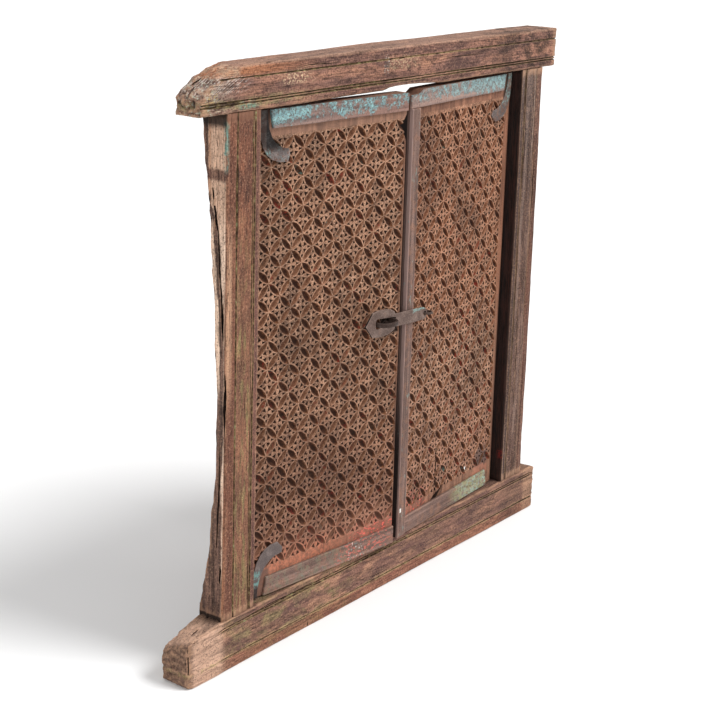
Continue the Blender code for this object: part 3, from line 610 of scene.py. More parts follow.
def timber_finish(name, turn, tones, zones, painted_shade_and_marks=None):
    """Weathered timber. turn lays the grain's X along it; zones lays patches under the fine flecks
    and painted_shade_and_marks lays painted shade and other marks last: given (where, grain, medium) both
    yield marks."""
    material, shader, where = finish_for(name)
    along = turned(where, turn)
    grain = use(GRAIN, {"Where": along, "Fibre": 0.0014})
    wear = use(WEAR, {"Where": where})
    broad = spots(stretched(along, (0.11, 0.030, 0.030)), 1.0, 5.0, 0.62, 0.4)
    medium = spots(stretched(along, (0.014, 0.007, 0.007)), 1.0, 5.0, 0.72, 0.6)
    fine = spots(where, 300.0, 4.0, 0.7)
    colour = shades(broad, tones_at(WOOD_PLACES, *tones))
    colour = flecked(colour, medium, 0.50, 0.36, 0.65, (74, 48, 40))
    colour = flecked(colour, medium, 0.56, 0.70, 0.45, (186, 146, 120))
    colour = marked(colour, zones(where, grain, medium))
    colour = stained(colour, (66, 42, 34), step(grain["Streaks"], 0.50, 0.36), 0.25)
    colour = flecked(colour, fine, 0.54, 0.64, 0.34, (206, 160, 128))
    colour = stained(colour, (40, 25, 20), grain["Splits"], step(medium, 0.60, 0.44), 0.5)
    colour = flecked(colour, fine, 0.48, 0.38, 0.6, (52, 33, 26))
    colour = stained(colour, (190, 148, 118), wear["Worn"], 0.55)
    # Darker where the surface lies deep.
    colour = stained(colour, (36, 24, 19), wear["Hollows"], 0.85)
    if painted_shade_and_marks:
        colour = marked(colour, painted_shade_and_marks(where, grain, medium))
    height = figure("ADD", times(grain["Fibres"], 0.5), medium)
    height = figure("SUBTRACT", height, times(grain["Splits"], 0.8))
    coat(shader, colour, figure("ADD", 0.55, times(medium, 0.4)), height, 0.0016)
    return material


# Where the frame's parts lie: the slope of the lintel's break, the jambs' outer sides, half the
# opening's width, and the two edges of each groove.
BREAK_SLOPE = math.radians(27.5)
JAMB_OUTER = 0.449
HALF_OPENING = 0.374
LINTEL_GROOVES = ((0.9195, 0.9265), (0.9582, 0.9610))
SILL_GROOVES = ((0.0715, 0.0785), (0.0225, 0.0253))
JAMB_GROOVES = ((0.3855, 0.3925), (0.4262, 0.4290))


def in_grooves(axis, bands):
    """What picks the walls of the moulded front's grooves, given their edges along one axis."""
    def picked(centre, normal):
        inside = any(low - 0.0003 < abs(centre[axis]) < high + 0.0003 for low, high in bands)
        level = axis == 0 or abs(normal.x) < 0.15
        return inside and level and abs(normal[axis]) > 0.4 and normal.y < -0.15 and centre.y < FRONT + 0.006
    return picked


def lintel_zones(where, grain, medium):
    """A speckled joint, crumbs of lime, the broken end's pale fibres, brown and olive stains, and a painted
    highlight along the top.
    """
    x, y, z = split(where)
    joint = times(between(x, -0.0630, -0.0490, 0.001), between(z, 0.936, 0.967, 0.002))
    yield (38, 36, 44), joint, scattered(where, 330.0, 0.50, 0.54), 0.9
    yield (206, 200, 190), joint, scattered(where, 290.0, 0.56, 0.60), 0.9
    crumbs = figure("MAXIMUM", between(x, -0.325, -0.26, 0.015), between(x, -0.050, 0.035, 0.01))
    crumbs = times(crumbs, between(z, 0.941, 0.963, 0.004), scattered(where, 260.0, 0.51, 0.57))
    yield (216, 186, 150), crumbs, 0.8
    broken = times(step(x, -0.42, -0.47), step(medium, 0.38, 0.58))
    yield (176, 152, 136), broken, 0.75
    torn_fibres = spots(stretched(turned(where, (0, BREAK_SLOPE, 0)), (0.022, 0.0022, 0.0022)), 1.0, 4.0, 0.6)
    break_end = step(figure("SUBTRACT", x, figure("MULTIPLY", y, -1.2)), -0.425, -0.475)
    break_end = times(break_end, step(z, 0.934, 0.944))
    yield (206, 194, 184), break_end, step(torn_fibres, 0.52, 0.58), 0.8
    yield (76, 54, 44), break_end, step(torn_fibres, 0.46, 0.40), 0.6
    sawn_end = times(step(x, -0.485, -0.500), step(z, 0.944, 0.932))
    yield (140, 104, 84), sawn_end, 0.6
    under_break = times(between(x, -0.50, -0.474, 0.004), between(z, 0.926, 0.945, 0.003))
    yield (170, 150, 92), under_break, scattered(where, 300.0, 0.52, 0.56), 0.8
    yield (174, 112, 76), step(x, -0.20, -0.40), between(z, 0.962, 0.976, 0.004), 0.8
    yield (78, 54, 50), step(x, -0.20, 0.10), step(medium, 0.52, 0.40), 0.45
    block = times(between(x, -0.462, -0.425, 0.006), step(z, 0.960, 0.966))
    yield (196, 164, 138), block, step(medium, 0.38, 0.52), 0.75
    olive = times(between(z, 0.914, 0.930, 0.004), step(x, -0.20, -0.34))
    yield (140, 132, 92), olive, step(medium, 0.42, 0.58), 0.75
    spot = times(between(x, -0.425, -0.385, 0.012), between(z, 0.912, 0.924, 0.004))
    yield (118, 150, 130), spot, scattered(where, 160.0, 0.44, 0.50), 0.9
    # Painted highlight along the top edge and the top face.
    yield (186, 150, 130), step(z, 0.974, 0.978), 0.55
    dark = patches(where, 0.05, 0.50)
    yield (52, 38, 32), step(x, 0.22, 0.36), dark, 0.75
    pale = scattered(where, 190.0, 0.55, 0.60)
    yield (186, 192, 174), step(x, -0.455, -0.49), pale, 0.7


def sill_zones(where, grain, medium):
    """The pale horn with its end rings and notch, the dark top, and olive and mauve stains."""
    x, y, z = split(where)
    horn = step(x, -0.440, -0.462)
    yield (206, 168, 144), horn, 0.85
    yield (92, 68, 58), step(x, -0.516, -0.531), 0.9
    rings = add(where.id_data, "ShaderNodeTexWave", {
        "Vector": where, "Scale": 28.0, "Distortion": 6.0, "Detail": 2.0},
        wave_type="RINGS", rings_direction="X").outputs[1]
    yield (176, 140, 112), step(x, -0.522, -0.531), rings, 0.5
    top = times(step(z, 0.078, 0.088), step(y, -0.026, -0.018))
    yield (92, 72, 62), top, 0.8
    yield (62, 46, 40), top, step(x, -0.462, -0.500), step(medium, 0.40, 0.56), 0.8
    notch = times(step(x, -0.524, -0.529), between(y, 0.004, 0.024, 0.003), between(z, 0.063, 0.073, 0.003))
    yield (44, 30, 25), notch, 0.8
    olive = patches(stretched(where, (1.6, 1, 1)), 0.035, 0.50)
    middle = between(x, -0.435, -0.12, 0.03)
    yield (142, 130, 88), middle, olive, 0.65
    mauve = patches(stretched(where, (2.4, 1, 1)), 0.024, 0.50)
    yield (104, 72, 70), step(x, -0.45, -0.42), mauve, 0.55
    yield (150, 90, 66), step(z, 0.026, 0.018), step(x, -0.45, -0.42), 0.45
    yield (176, 156, 108), between(z, 0.020, 0.027, 0.002), step(medium, 0.44, 0.56), 0.6
    yield (84, 64, 57), between(x, 0.39, 0.455, 0.02), step(medium, 0.36, 0.52), 0.45
    yield (172, 134, 108), step(x, 0.459, 0.466), 0.7


def torn_edge(height):
    """How far back the left jamb's bark side has torn away from its face, for each height."""
    reach = add(height.id_data, "ShaderNodeFloatCurve", {"Value": height}).outputs[0]
    marks = reach.node.mapping.curves[0].points
    marks[0].location = (0.09, 0.16)
    marks[-1].location = (0.91, 0.93)
    for place in (
        (0.20, 0.17), (0.33, 0.22), (0.46, 0.14), (0.56, 0.16), (0.635, 0.32), (0.735, 0.52), (0.80, 0.92),
    ):
        marks.new(*place)
    reach.node.mapping.update()
    edge = figure("MULTIPLY_ADD", reach, 0.045)
    edge.node.inputs[2].default_value = FRONT - 0.002
    return edge


def jamb_parts(where, outwards):
    """A jamb's face, and on it the bead at the opening, the outer strip and the flat between them;
    outwards is X counted away from the opening."""
    x, y, z = split(where)
    face = step(y, FRONT + 0.003, FRONT + 0.001)
    bead = times(face, step(outwards, 0.388, 0.384))
    strip = times(face, step(outwards, 0.426, 0.430))
    flat = times(between(outwards, 0.393, 0.426, 0.002), step(z, 0.80, 0.55), face)
    return face, bead, strip, flat


def left_jamb_zones(where, grain, medium):
    """The pale bare side with painted light below its head, dark bark behind its torn edge, and the tones of
    the moulded face.
    """
    x, y, z = split(where)
    outwards = figure("MULTIPLY", x, -1)
    outer = step(outwards, JAMB_OUTER - 0.0045, JAMB_OUTER - 0.0015)
    behind = step(y, FRONT + 0.0030, FRONT + 0.0060)
    wander = times(figure("SUBTRACT", spots(where, 26.0, 3.0), 0.5), 0.009)
    line = figure("SUBTRACT", figure("ADD", y, wander), torn_edge(z))
    bare = times(step(line, 0.007, 0.010), between(z, 0.47, 0.80, 0.03), step(y, 0.020, 0.012))
    bark = times(step(line, -0.001, 0.002), step(x, -0.405, -0.415), figure("SUBTRACT", 1.0, bare))
    yield (220, 184, 158), outer, behind, 0.88
    # Painted light: the bare side laid paler below its head, to look as brightly lit as the face.
    yield (248, 218, 194), outer, behind, step(z, 0.77, 0.70), 0.65
    yield (168, 116, 84), outer, step(grain["Streaks"], 0.50, 0.62), 0.5
    yield (68, 47, 41), bark, 0.95
    yield (138, 106, 92), bark, step(grain["Streaks"], 0.48, 0.60), 0.6
    band = times(outer, between(figure("ADD", z, times(wander, 0.6)), 0.805, 0.822, 0.003))
    yield (84, 52, 46), band, 0.85
    streak = times(outer, between(z, 0.825, 0.912, 0.012), between(y, -0.031, -0.021, 0.003))
    drips = scattered(stretched(where, (1, 1, 3)), 120.0, 0.44, 0.52)
    yield (120, 176, 164), streak, drips, 0.85
    face, bead, strip, flat = jamb_parts(where, outwards)
    yield (112, 80, 74), bead, 0.6
    yield (116, 74, 58), strip, 0.6
    arris = times(between(figure("ADD", z, wander), 0.47, 0.72, 0.06), step(outwards, 0.434, 0.440), face)
    yield (206, 162, 130), arris, 0.65
    yield (150, 108, 84), flat, 0.35
    olive = patches(stretched(where, (1, 1, 6)), 0.009, 0.46)
    yield (146, 134, 88), flat, olive, 0.65


def right_jamb_zones(where, grain, medium):
    """The darker tones of the moulded face, greyer towards the head."""
    x, y, z = split(where)
    yield (130, 114, 106), step(z, 0.6, 0.9), 0.45
    face, bead, strip, flat = jamb_parts(where, x)
    yield (76, 60, 56), bead, 0.6
    yield (116, 74, 58), strip, 0.6
    yield (56, 42, 38), face, step(grain["Streaks"], 0.50, 0.40), 0.45
    yield (160, 138, 126), face, step(grain["Streaks"], 0.54, 0.64), 0.4
    yield (150, 108, 84), flat, 0.10


def left_jamb_painted_shade(where, grain, medium):
    """Painted shade under the lintel and in the gap at the foot, a darker band on the face under the lintel,
    and darker sides near the foot.
    """
    x, y, z = split(where)
    behind = step(y, FRONT + 0.002, FRONT + 0.005)
    # Painted shadow on the bare side under the lintel.
    yield (22, 14, 12), step(z, 0.880, 0.893), step(x, -0.440, -0.446), behind, 0.92
    yield (112, 74, 58), step(z, 0.892, 0.899), step(y, FRONT + 0.004, FRONT + 0.002), 0.8
    yield (52, 36, 31), step(z, 0.145, 0.100), behind, 0.4
    # Painted shade in the gap between the jamb's foot and the sill.
    yield (24, 16, 13), step(z, 0.0985, 0.0955), step(x, -0.432, -0.440), behind, 0.9


def right_jamb_shade_and_patch(where, grain, medium):
    """Painted shade on the inner side, which lies in the recess by the right leaf, with one red patch near
    its foot.
    """
    x, y, z = split(where)
    inner = step(x, HALF_OPENING + 0.0035, HALF_OPENING + 0.0012)
    # Painted shade: the inner side laid near-black.
    dark = shades(grain["Fibres"], tones_at((0.40, 0.60), (16, 9, 7), (52, 28, 22)))
    yield dark, inner, 0.97
    red = times(inner, between(z, 0.140, 0.155, 0.006), between(y, -0.030, -0.019, 0.004))
    yield (132, 36, 32), red, scattered(where, 190.0, 0.42, 0.56), 0.7


def painted_finish(side):
    """Thin turquoise paint, worn through to mauve-brown wood, thickest at the hinge end."""
    material, shader, where = finish_for(f"worn_turquoise_{side}", 0.35, side)
    across, deep, up = split(where)
    grain = use(GRAIN, {"Where": where})
    fine = spots(where, 420.0, 3.0, 0.6)
    wood = shades(grain["Streaks"], tones_at((0.32, 0.5, 0.7), (90, 66, 60), (128, 98, 88), (154, 120, 106)))
    if side == "left":
        lean = figure("ADD", times(step(across, 0.14, 0.02), 0.11),
                      times(between(across, 0.19, 0.26, 0.03), 0.03))
    else:
        lean = times(step(across, -0.26, -0.06), 0.09)
    cover = figure("ADD", figure("ADD", 0.36, lean), times(step(up, 0.782, 0.797), 0.14))
    paint = use(FLAKING, {"Where": where, "Cover": cover, "Flake": 0.0048 if side == "left" else 0.0034})
    hue = shades(spots(where, 110.0, 4.0, 0.65), tones_at(
        (0.34, 0.5, 0.64), (96, 120, 124), (118, 162, 166), (148, 198, 198)))
    hue = flecked(hue, fine, 0.52, 0.40, 0.75, (88, 72, 60))
    film = step(across, 0.26, 0.02) if side == "left" else step(across, -0.26, -0.04)
    colour = stained(wood, (120, 138, 140), film, 0.18)
    if side == "right":
        colour = stained(colour, (176, 158, 148), 0.25)
    colour = stained(colour, hue, paint["Paint"], 0.85 if side == "left" else 0.72)
    colour = flecked(colour, fine, 0.46, 0.34, 0.6, (60, 44, 38))
    height = figure("ADD", times(paint["Film"], 0.6), times(grain["Fibres"], 0.6))
    coat(shader, colour, figure("SUBTRACT", 0.8, times(paint["Paint"], 0.2)), height, 0.0006)
    return material


def batten_finish(name, side, turn, paint_and_light_marks):
    """Grey-brown scratched wood; paint_and_light_marks yields the marks of old paint left on it, and on the
    strip painted light and shadow.
    """
    material, shader, where = finish_for(name, side=side)
    grain = use(GRAIN, {"Where": turned(where, turn)})
    wear = use(WEAR, {"Where": where})
    fine = spots(where, 420.0, 3.0, 0.6)
    wood = shades(grain["Streaks"], tones_at((0.30, 0.5, 0.7), (86, 67, 60), (120, 95, 86), (148, 118, 106)))
    wood = stained(wood, (44, 31, 26), grain["Splits"], 0.6)
    patch = patches(where, 0.02, 0.46)
    wood = stained(wood, (146, 104, 82), patch, 0.45)
    wood = flecked(wood, fine, 0.48, 0.34, 0.6, (62, 46, 40))
    wood = stained(wood, (176, 146, 128), wear["Worn"], 0.5)
    wood = marked(wood, paint_and_light_marks(where))
    rough = figure("ADD", 0.6, times(grain["Fibres"], 0.3))
    coat(shader, wood, rough, figure("ADD", grain["Fibres"], fine), 0.0006)
    return material


def left_foot_paints(where):
    """Olive and turquoise traces, and pink and white flecks near the free end."""
    across, deep, up = split(where)
    zone = between(across, 0.20, 0.33, 0.03)
    flecks = scattered(stretched(where, (1.8, 1, 1)), 240.0, 0.55, 0.61)
    yield (112, 110, 92), step(across, 0.30, 0.16), scattered(where, 90.0, 0.46, 0.60), 0.5
    yield (200, 104, 90), zone, flecks, 0.75
    middle = between(across, 0.225, 0.265, 0.015)
    yield (214, 210, 200), middle, scattered(where, 210.0, 0.60, 0.64), 0.9
    yield (112, 136, 132), scattered(where, 120.0, 0.62, 0.67), 0.4


def right_foot_paints(where):
    """A thin pale film, worn in patches, over the end at the hinge."""
    across, deep, up = split(where)
    right_half = step(across, -0.18, -0.12)
    yield (150, 152, 110), right_half, scattered(where, 110.0, 0.42, 0.52), 0.6
    film = times(scattered(where, 60.0, 0.34, 0.60), scattered(where, 260.0, 0.44, 0.54))
    painted = step(across, -0.17, -0.08)
    yield (150, 182, 174), painted, film, 0.62
    yield (150, 128, 94), painted, scattered(where, 170.0, 0.54, 0.60), 0.7
    yield (84, 66, 52), painted, scattered(where, 400.0, 0.58, 0.62), 0.6


def strip_paint_and_light(where):
    """A reddish line along the strip's edge, its outer side with painted light and a painted shadow low down,
    a white chip and old paint.
    """
    across, deep, up = split(where)
    edge_x = FIELD_LEFT["right"] - 0.0055
    line = between(across, edge_x - 0.0012, edge_x + 0.0006, 0.0008)
    yield (196, 116, 100), line, scattered(where, 60.0, 0.44, 0.52), 0.8
    outside = step(across, edge_x - 0.0235, edge_x - 0.0250)
    # Painted light: the outer side, which the key light misses, laid mauve and above the foot paler still.
    yield (136, 112, 106), outside, 0.6
    yield (156, 130, 122), outside, step(up, 0.15, 0.35), 0.7
    # Painted shadow on the outer side's rear, low down in the gap between the leaves.
    shadow = times(outside, step(deep, FACE - 0.0050, FACE - 0.0030), step(up, 0.35, 0.15))
    yield (28, 19, 16), shadow, 0.97
    chip = times(between(across, edge_x - 0.0215, edge_x - 0.0165, 0.001), between(up, 0.050, 0.058, 0.001))
    yield (226, 222, 214), chip, scattered(where, 260.0, 0.36, 0.44)
    yield (120, 146, 140), scattered(stretched(where, (1, 1, 3)), 120.0, 0.63, 0.68), 0.5


def iron_finish(name, side, tone_share, tone, paint_above=None, paint_before=None, marks=None):
    """Hand-forged iron, grey-brown, toned over, with worn pale edges and traces of turquoise paint.
    paint_above is where the paint begins and is full, going up, and how much there is; paint_before
    is where it begins going across; marks yields what is laid last."""
    material, shader, where = finish_for(name, 0.5, side)
    across, deep, up = split(where)
    wear = use(WEAR, {"Where": where})
    broad = spots(where, 60.0, 4.0, 0.6)
    fine = spots(where, 500.0, 3.0, 0.6)
    colour = shades(broad, tones_at(
        (0.32, 0.5, 0.62, 0.76), (70, 58, 54), (104, 88, 82), (130, 112, 102), (122, 80, 58)))
    colour = flecked(colour, fine, 0.54, 0.42, 0.7, (56, 42, 37))
    colour = flecked(colour, fine, 0.54, 0.62, 0.5, (158, 138, 126))
    colour = stained(colour, (190, 168, 154), wear["Worn"], 0.7)
    colour = stained(colour, tone, tone_share)
    metal = step(broad, 0.72, 0.5)
    if paint_above:
        low, high, amount = paint_above
        here = step(up, low, high)
        if paint_before:
            here = times(here, step(across, paint_before, paint_before + 0.01))
        cover = figure("ADD", 0.36, times(here, amount))
        paint = use(FLAKING, {"Where": where, "Cover": cover, "Flake": 0.0045})["Paint"]
        hue = shades(fine, tones_at((0.42, 0.60), (84, 100, 94), (128, 172, 166)))
        colour = stained(colour, hue, paint, step(fine, 0.38, 0.50), 0.75)
        metal = times(metal, figure("SUBTRACT", 1.0, paint))
    if marks:
        colour = marked(colour, marks(where))
    feed(shader.inputs["Metallic"], times(metal, 0.6))
    coat(shader, colour, figure("ADD", 0.45, times(fine, 0.4)), figure("ADD", broad, fine), 0.0006)
    return material


def left_strap_marks(where):
    """Rust and shade on both left straps, darkest at their ends."""
    across, deep, up = split(where)
    rust_and_shade = scattered(where, 130.0, 0.52, 0.60)
    yield (104, 64, 46), rust_and_shade, step(up, 0.66, 0.70), 0.7
    yield (94, 82, 82), between(up, 0.60, 0.706, 0.006), 0.55
    # Painted shade: the head strap's top, under the lintel between jamb and leaf, laid dark.
    yield (46, 29, 23), step(up, 0.745, 0.760), 0.92
    yield (20, 14, 12), step(up, 0.026, 0.018)
    # A painted shadow line along the head strap's right edge, in the gap by the batten.
    yield (16, 11, 10), step(up, 0.735, 0.76), step(across, 0.0130, 0.0145), 0.9
    yield (86, 70, 68), step(up, 0.300, 0.250), 0.45
    lower_end = times(between(up, 0.022, 0.050, 0.004), step(across, 0.016, 0.011))
    yield (116, 156, 150), lower_end, scattered(where, 150.0, 0.44, 0.52), 0.8


def right_strap_marks(where):
    """Rust all over, and a darker lower part."""
    across, deep, up = split(where)
    yield (112, 76, 58), scattered(where, 120.0, 0.48, 0.58), 0.65
    yield (84, 64, 64), step(up, 0.735, 0.725), 0.55


def wear_finish(piece, material):
    piece.data.materials.clear()
    piece.data.materials.append(material)


def groove_finish():
    """Old dirt lying in the moulding's grooves."""
    material, shader, where = finish_for("groove_dirt")
    x, y, z = split(where)
    mottled = spots(where, 130.0, 3.0, 0.6)
    colour = shades(mottled, tones_at(
        (0.38, 0.52, 0.62, 0.72), (58, 42, 30), (94, 76, 52), (128, 110, 74), (138, 142, 106)))
    limed = times(between(z, 0.956, 0.963, 0.001), step(x, -0.10, -0.04), step(mottled, 0.40, 0.52))
    colour = stained(colour, (166, 138, 104), limed, 0.65)
    colour = flecked(colour, x, 0.20, 0.36, 0.6, (56, 40, 34))
    coat(shader, colour, figure("ADD", 0.75, times(mottled, 0.2)))
    return material


def second_finish(piece, material, where):
    """Gives another finish to the faces that where(centre, normal) picks."""
    piece.data.materials.append(material)
    slot = len(piece.data.materials) - 1
    for face in piece.data.polygons:
        if where(face.center, face.normal):
            face.material_index = slot


SPLIT = split_finish()
GROOVES = groove_finish()
FASCIA_TONES = ((92, 66, 61), (126, 91, 81), (158, 113, 95), (182, 132, 105))
SILL_TONES = ((98, 72, 65), (132, 98, 83), (162, 120, 98), (182, 136, 110))
JAMB_TONES = ((82, 50, 41), (110, 71, 56), (136, 88, 67), (162, 112, 85))
RIGHT_JAMB_TONES = ((60, 45, 42), (88, 68, 62), (110, 87, 79), (132, 107, 95))


# The carved boards.

def spindle(name, length, half_width, around, along):
    """A closed spindle lying along X, pointed at both ends."""
    deselect()
    radius = (length * length / 4 + half_width * half_width) / (2 * half_width)
    steps = round(along * math.pi / math.asin(length / 2 / radius))
    bpy.ops.mesh.primitive_circle_add(vertices=steps, radius=radius)
    tool = bpy.context.object
    tool.name = name
    take_up(tool)
    bpy.ops.transform.translate(value=(0, half_width - radius, 0))
    bpy.ops.mesh.bisect(plane_co=(0, 0, 0), plane_no=(0, 1, 0), clear_inner=True)
    pick_all()
    bpy.ops.mesh.spin(steps=around, angle=2 * math.pi, center=(0, 0, 0), axis=(1, 0, 0))
    pick_all()
    bpy.ops.mesh.remove_doubles(threshold=half_width * 0.02)
    pick_all()
    bpy.ops.mesh.normals_make_consistent(inside=False)
    put_down()
    return tool


def gouge(name, length, half_width):
    """A lens-shaped cutter lying along X, its flat lip just above the face."""
    tool = spindle(name, length, half_width, 12, 9)
    take_up(tool)
    bpy.ops.mesh.bisect(plane_co=(0, 0, LIP), plane_no=(0, 0, 1), clear_outer=True, use_fill=True)
    pick_all()
    bpy.ops.mesh.normals_make_consistent(inside=False)
    put_down()
    return tool


def chip_tool(name, width, length):
    """A three-sided point that lies with its apex towards +Y."""
    deselect()
    bpy.ops.mesh.primitive_cone_add(vertices=3, radius1=PIT_FLOOR, radius2=1, depth=1)
    tool = bpy.context.object
    tool.name = name
    tool.scale = (width / math.sqrt(3), length / 1.5, PIT_DEPTH + LIP)
    tool.location = (0, 0, LIP - (PIT_DEPTH + LIP) / 2)
    settle(tool)
    return tool


def spread(tool, turn, place, columns, rows):
    """Copies of a tool over every second cell and row; place is in cells, from the field's lower left."""
    first = [value % 2 for value in place]
    first = [value + (2 if value < PIT_MARGIN else 0) for value in first]
    counts = [int((limit - PIT_MARGIN - start) // 2) + 1 for start, limit in zip(first, (columns, rows))]
    copy = tool.copy()
    copy.data = tool.data.copy()
    bpy.context.scene.collection.objects.link(copy)
    copy.rotation_euler = (0, 0, turn)
    settle(copy)
    for axis, count in enumerate(counts):
        offset = [2 * CELL if k == axis else 0 for k in range(3)]
        work(copy, "ARRAY", use_relative_offset=False, use_constant_offset=True,
             constant_offset_displace=offset, count=count)
    copy.location = (first[0] * CELL, first[1] * CELL, 0)
    settle(copy)
    return copy


def drift(side, across, up):
    """How far the carver strayed from an even grid: the rows bulge upwards, the columns lean."""
    height = up / FIELD_HEIGHT
    bulge = math.sin(math.pi * max(0.0, min(1.0, height)))
    if side == "left":
        low, high = -0.0016 + 0.0255 * across, 0.0014 + 0.0105 * across
        return Vector((low + (high - low) * height, -0.0028 + 0.0084 * bulge + 0.0105 * across))
    lean = max(0.0, (0.42 - up) / 0.36) * (0.0045 + 0.016 * across)
    return Vector((0.0015 + 0.003 * across + lean, -0.0046 + 0.0086 * bulge + 0.006 * across))


def field_cutter(side):
    """All the petals and chips of one leaf, as one tool."""
    columns = COLUMNS[side]
    petal = gouge("petal", PETAL_LENGTH, PETAL_HALF_WIDTH)
    axis_chip = chip_tool("axis_chip", *AXIS_PIT)
    corner_chip = chip_tool("corner_chip", *CORNER_PIT)
    chip_wood = chip_finish(side)
    for chip in (axis_chip, corner_chip):
        wear_finish(chip, chip_wood)
    tools = []
    for finish, turn, places in (
        (lit_petal(side), 45, ((0.5, 1.5), (1.5, 0.5))), (shaded_petal(side), -45, ((0.5, 0.5), (1.5, 1.5))),
    ):
        wear_finish(petal, finish)
        tools += [spread(petal, math.radians(turn), place, columns, ROWS) for place in places]
    for centre in ((0, 0), (1, 1)):
        for quarter in range(4):
            turn = quarter * math.pi / 2
            reach = Vector((-math.sin(turn), math.cos(turn))) * AXIS_PIT_REACH
            tools.append(spread(axis_chip, turn, (centre[0] + reach.x, centre[1] + reach.y), columns, ROWS))
            slant = turn + math.pi / 4
            reach = Vector((-math.sin(slant), math.cos(slant))) * CORNER_PIT_REACH * math.sqrt(2)
            place = (centre[0] + reach.x, centre[1] + reach.y)
            tools.append(spread(corner_chip, slant + math.pi, place, columns, ROWS))
    for tool in (petal, axis_chip, corner_chip):
        discard(tool)
    cutter = join(tools)
    for direction, place in (("X", 0.0), ("Y", 7.3)):
        push(cutter, cloud("hand", 1.0, 1), HAND, direction, (0.030,) * 3, place=(place, 0, 0))
        push(cutter, cloud("slip", 1.0, 1), SLIP, direction, (0.007,) * 3, place=(place, 1, 0))
    push(cutter, cloud("weight", 1.0, 1), BITE, "Z", (0.020,) * 3)
    for vertex in cutter.data.vertices:
        vertex.co.xy += drift(side, vertex.co.x, vertex.co.y)
    return cutter


def carved_board(side):
    """One leaf's board with its field cut afresh, finer than in the solid."""
    board = copy_of(f"{side}_leaf", f"{side}_board")
    board.data.transform(leaf_matrix(side).inverted())
    left = FIELD_LEFT[side] - SLACK
    right = left + COLUMNS[side] * CELL + 2 * SLACK
    foot = FIELD_FOOT - SLACK
    head = foot + FIELD_HEIGHT + 2 * SLACK
    deselect()
    shape = bmesh.new()
    shape.from_mesh(board.data)
    for vert in shape.verts:
        x, y, z = vert.co
        if left < x < right and foot < z < head and y < FACE + COARSE_DEPTH:
            vert.co.y = FACE
    bmesh.ops.remove_doubles(shape, verts=shape.verts, dist=MERGE)
    shape.to_mesh(board.data)
    shape.free()
    take_up(board)
    bpy.ops.mesh.dissolve_limited(angle_limit=FLAT)
    put_down()
    wear_finish(board, carved_finish(side))
    cutter = field_cutter(side)
    cutter.location = (FIELD_LEFT[side], FACE, FIELD_FOOT)
    cutter.rotation_euler = (math.pi / 2, 0, 0)
    settle(cutter)
    cut(board, cutter)
    board.data.transform(leaf_matrix(side))
    smooth(board, 32)
    return board


left_board = carved_board("left")
right_board = carved_board("right")
for side, piece in (("left", left_board), ("right", right_board)):
    stand_for(piece, f"{side}_leaf", f"{side}_leaf_body", "carved_wood")


# The timbers.

def slice_up(piece, axis, step_size):
    """Cuts a piece into even slices across one axis, so that its surface can be worked."""
    ends = [Vector(corner)[axis] for corner in piece.bound_box]
    low, high = min(ends), max(ends)
    normal = Vector([1 if k == axis else 0 for k in range(3)])
    count = int((high - low) / step_size)
    for k in range(1, count + 1):
        place = low + (high - low) * k / (count + 1)
        pick_all()
        bpy.ops.mesh.bisect(plane_co=normal * place, plane_no=normal)


def timber(node, grain, tones, grooves, zones, painted_shade_and_marks=None, along=0.009, across=0.0022):
    """A timber copied from its solid and sliced finely enough to be weathered, with its finishes."""
    piece = copy_of(node, f"{node}_timber")
    take_up(piece)
    slice_up(piece, grain, along)
    for axis in range(3):
        if axis != grain:
            slice_up(piece, axis, across)
    pick_all()
    bpy.ops.mesh.quads_convert_to_tris()
    put_down()
    turn = UPRIGHT if grain == 2 else (0, 0, 0)
    wear_finish(piece, timber_finish(f"{node}_wood", turn, tones, zones, painted_shade_and_marks))
    second_finish(piece, GROOVES, in_grooves(2 - grain, grooves))
    return piece


def weigh(piece, name, measure):
    """A vertex group whose weights come from each point's place and normal."""
    weights = piece.vertex_groups.new(name=name)
    for vertex in piece.data.vertices:
        share = measure(vertex.co, vertex.normal)
        if share > 0:
            weights.add([vertex.index], min(share, 1.0), "ADD")
    return name


def weather(piece, grain, furrow=0.0016, sway=0.0024):
    """Long furrows along the grain, a slow wander of the surface and small chips."""
    long_way = [0.0055] * 3
    long_way[grain] = 0.14
    push(piece, cloud("furrows", 1.0, 3), furrow, stretch=long_way)
    slow = [0.05] * 3
    slow[grain] = 0.20
    push(piece, cloud("sway", 1.0, 1), sway, stretch=slow, place=(0.3, 0.1, 0.2))
    small = [0.0030] * 3
    small[grain] = 0.010
    push(piece, cloud("chips", 1.0, 2), furrow * 0.5, stretch=small)


def crack(piece, start, end, facing, half_width, depth, rise=0.5, wander=0.004):
    """A long split from start to end in the face that looks along facing."""
    start, end, facing = Vector(start), Vector(end), Vector(facing).normalized()
    run = end - start
    tool = spindle("split", run.length, half_width, 8, 22)
    wear_finish(tool, SPLIT)
    for vertex in tool.data.vertices:
        vertex.co.z *= rise if vertex.co.z > 0 else depth / half_width
    push(tool, cloud("wander", 0.030, 2, "COLOR"), wander, "RGB_TO_XYZ")
    ahead = run.normalized()
    aside = facing.cross(ahead).normalized()
    out = ahead.cross(aside)
    turn = Matrix((ahead, aside, out)).transposed().to_4x4()
    tool.matrix_world = Matrix.Translation((start + end) / 2) @ turn
    settle(tool)
    cut(piece, tool)


def cracks(piece, rows):
    """Splits in one piece, each by its start, end, facing, half width, depth and, if it gapes, rise."""
    for row in rows:
        crack(piece, *row)


def rise_to(value, low, high):
    """0 at low, 1 at high, straight between."""
    return max(0.0, min(1.0, (value - low) / (high - low)))


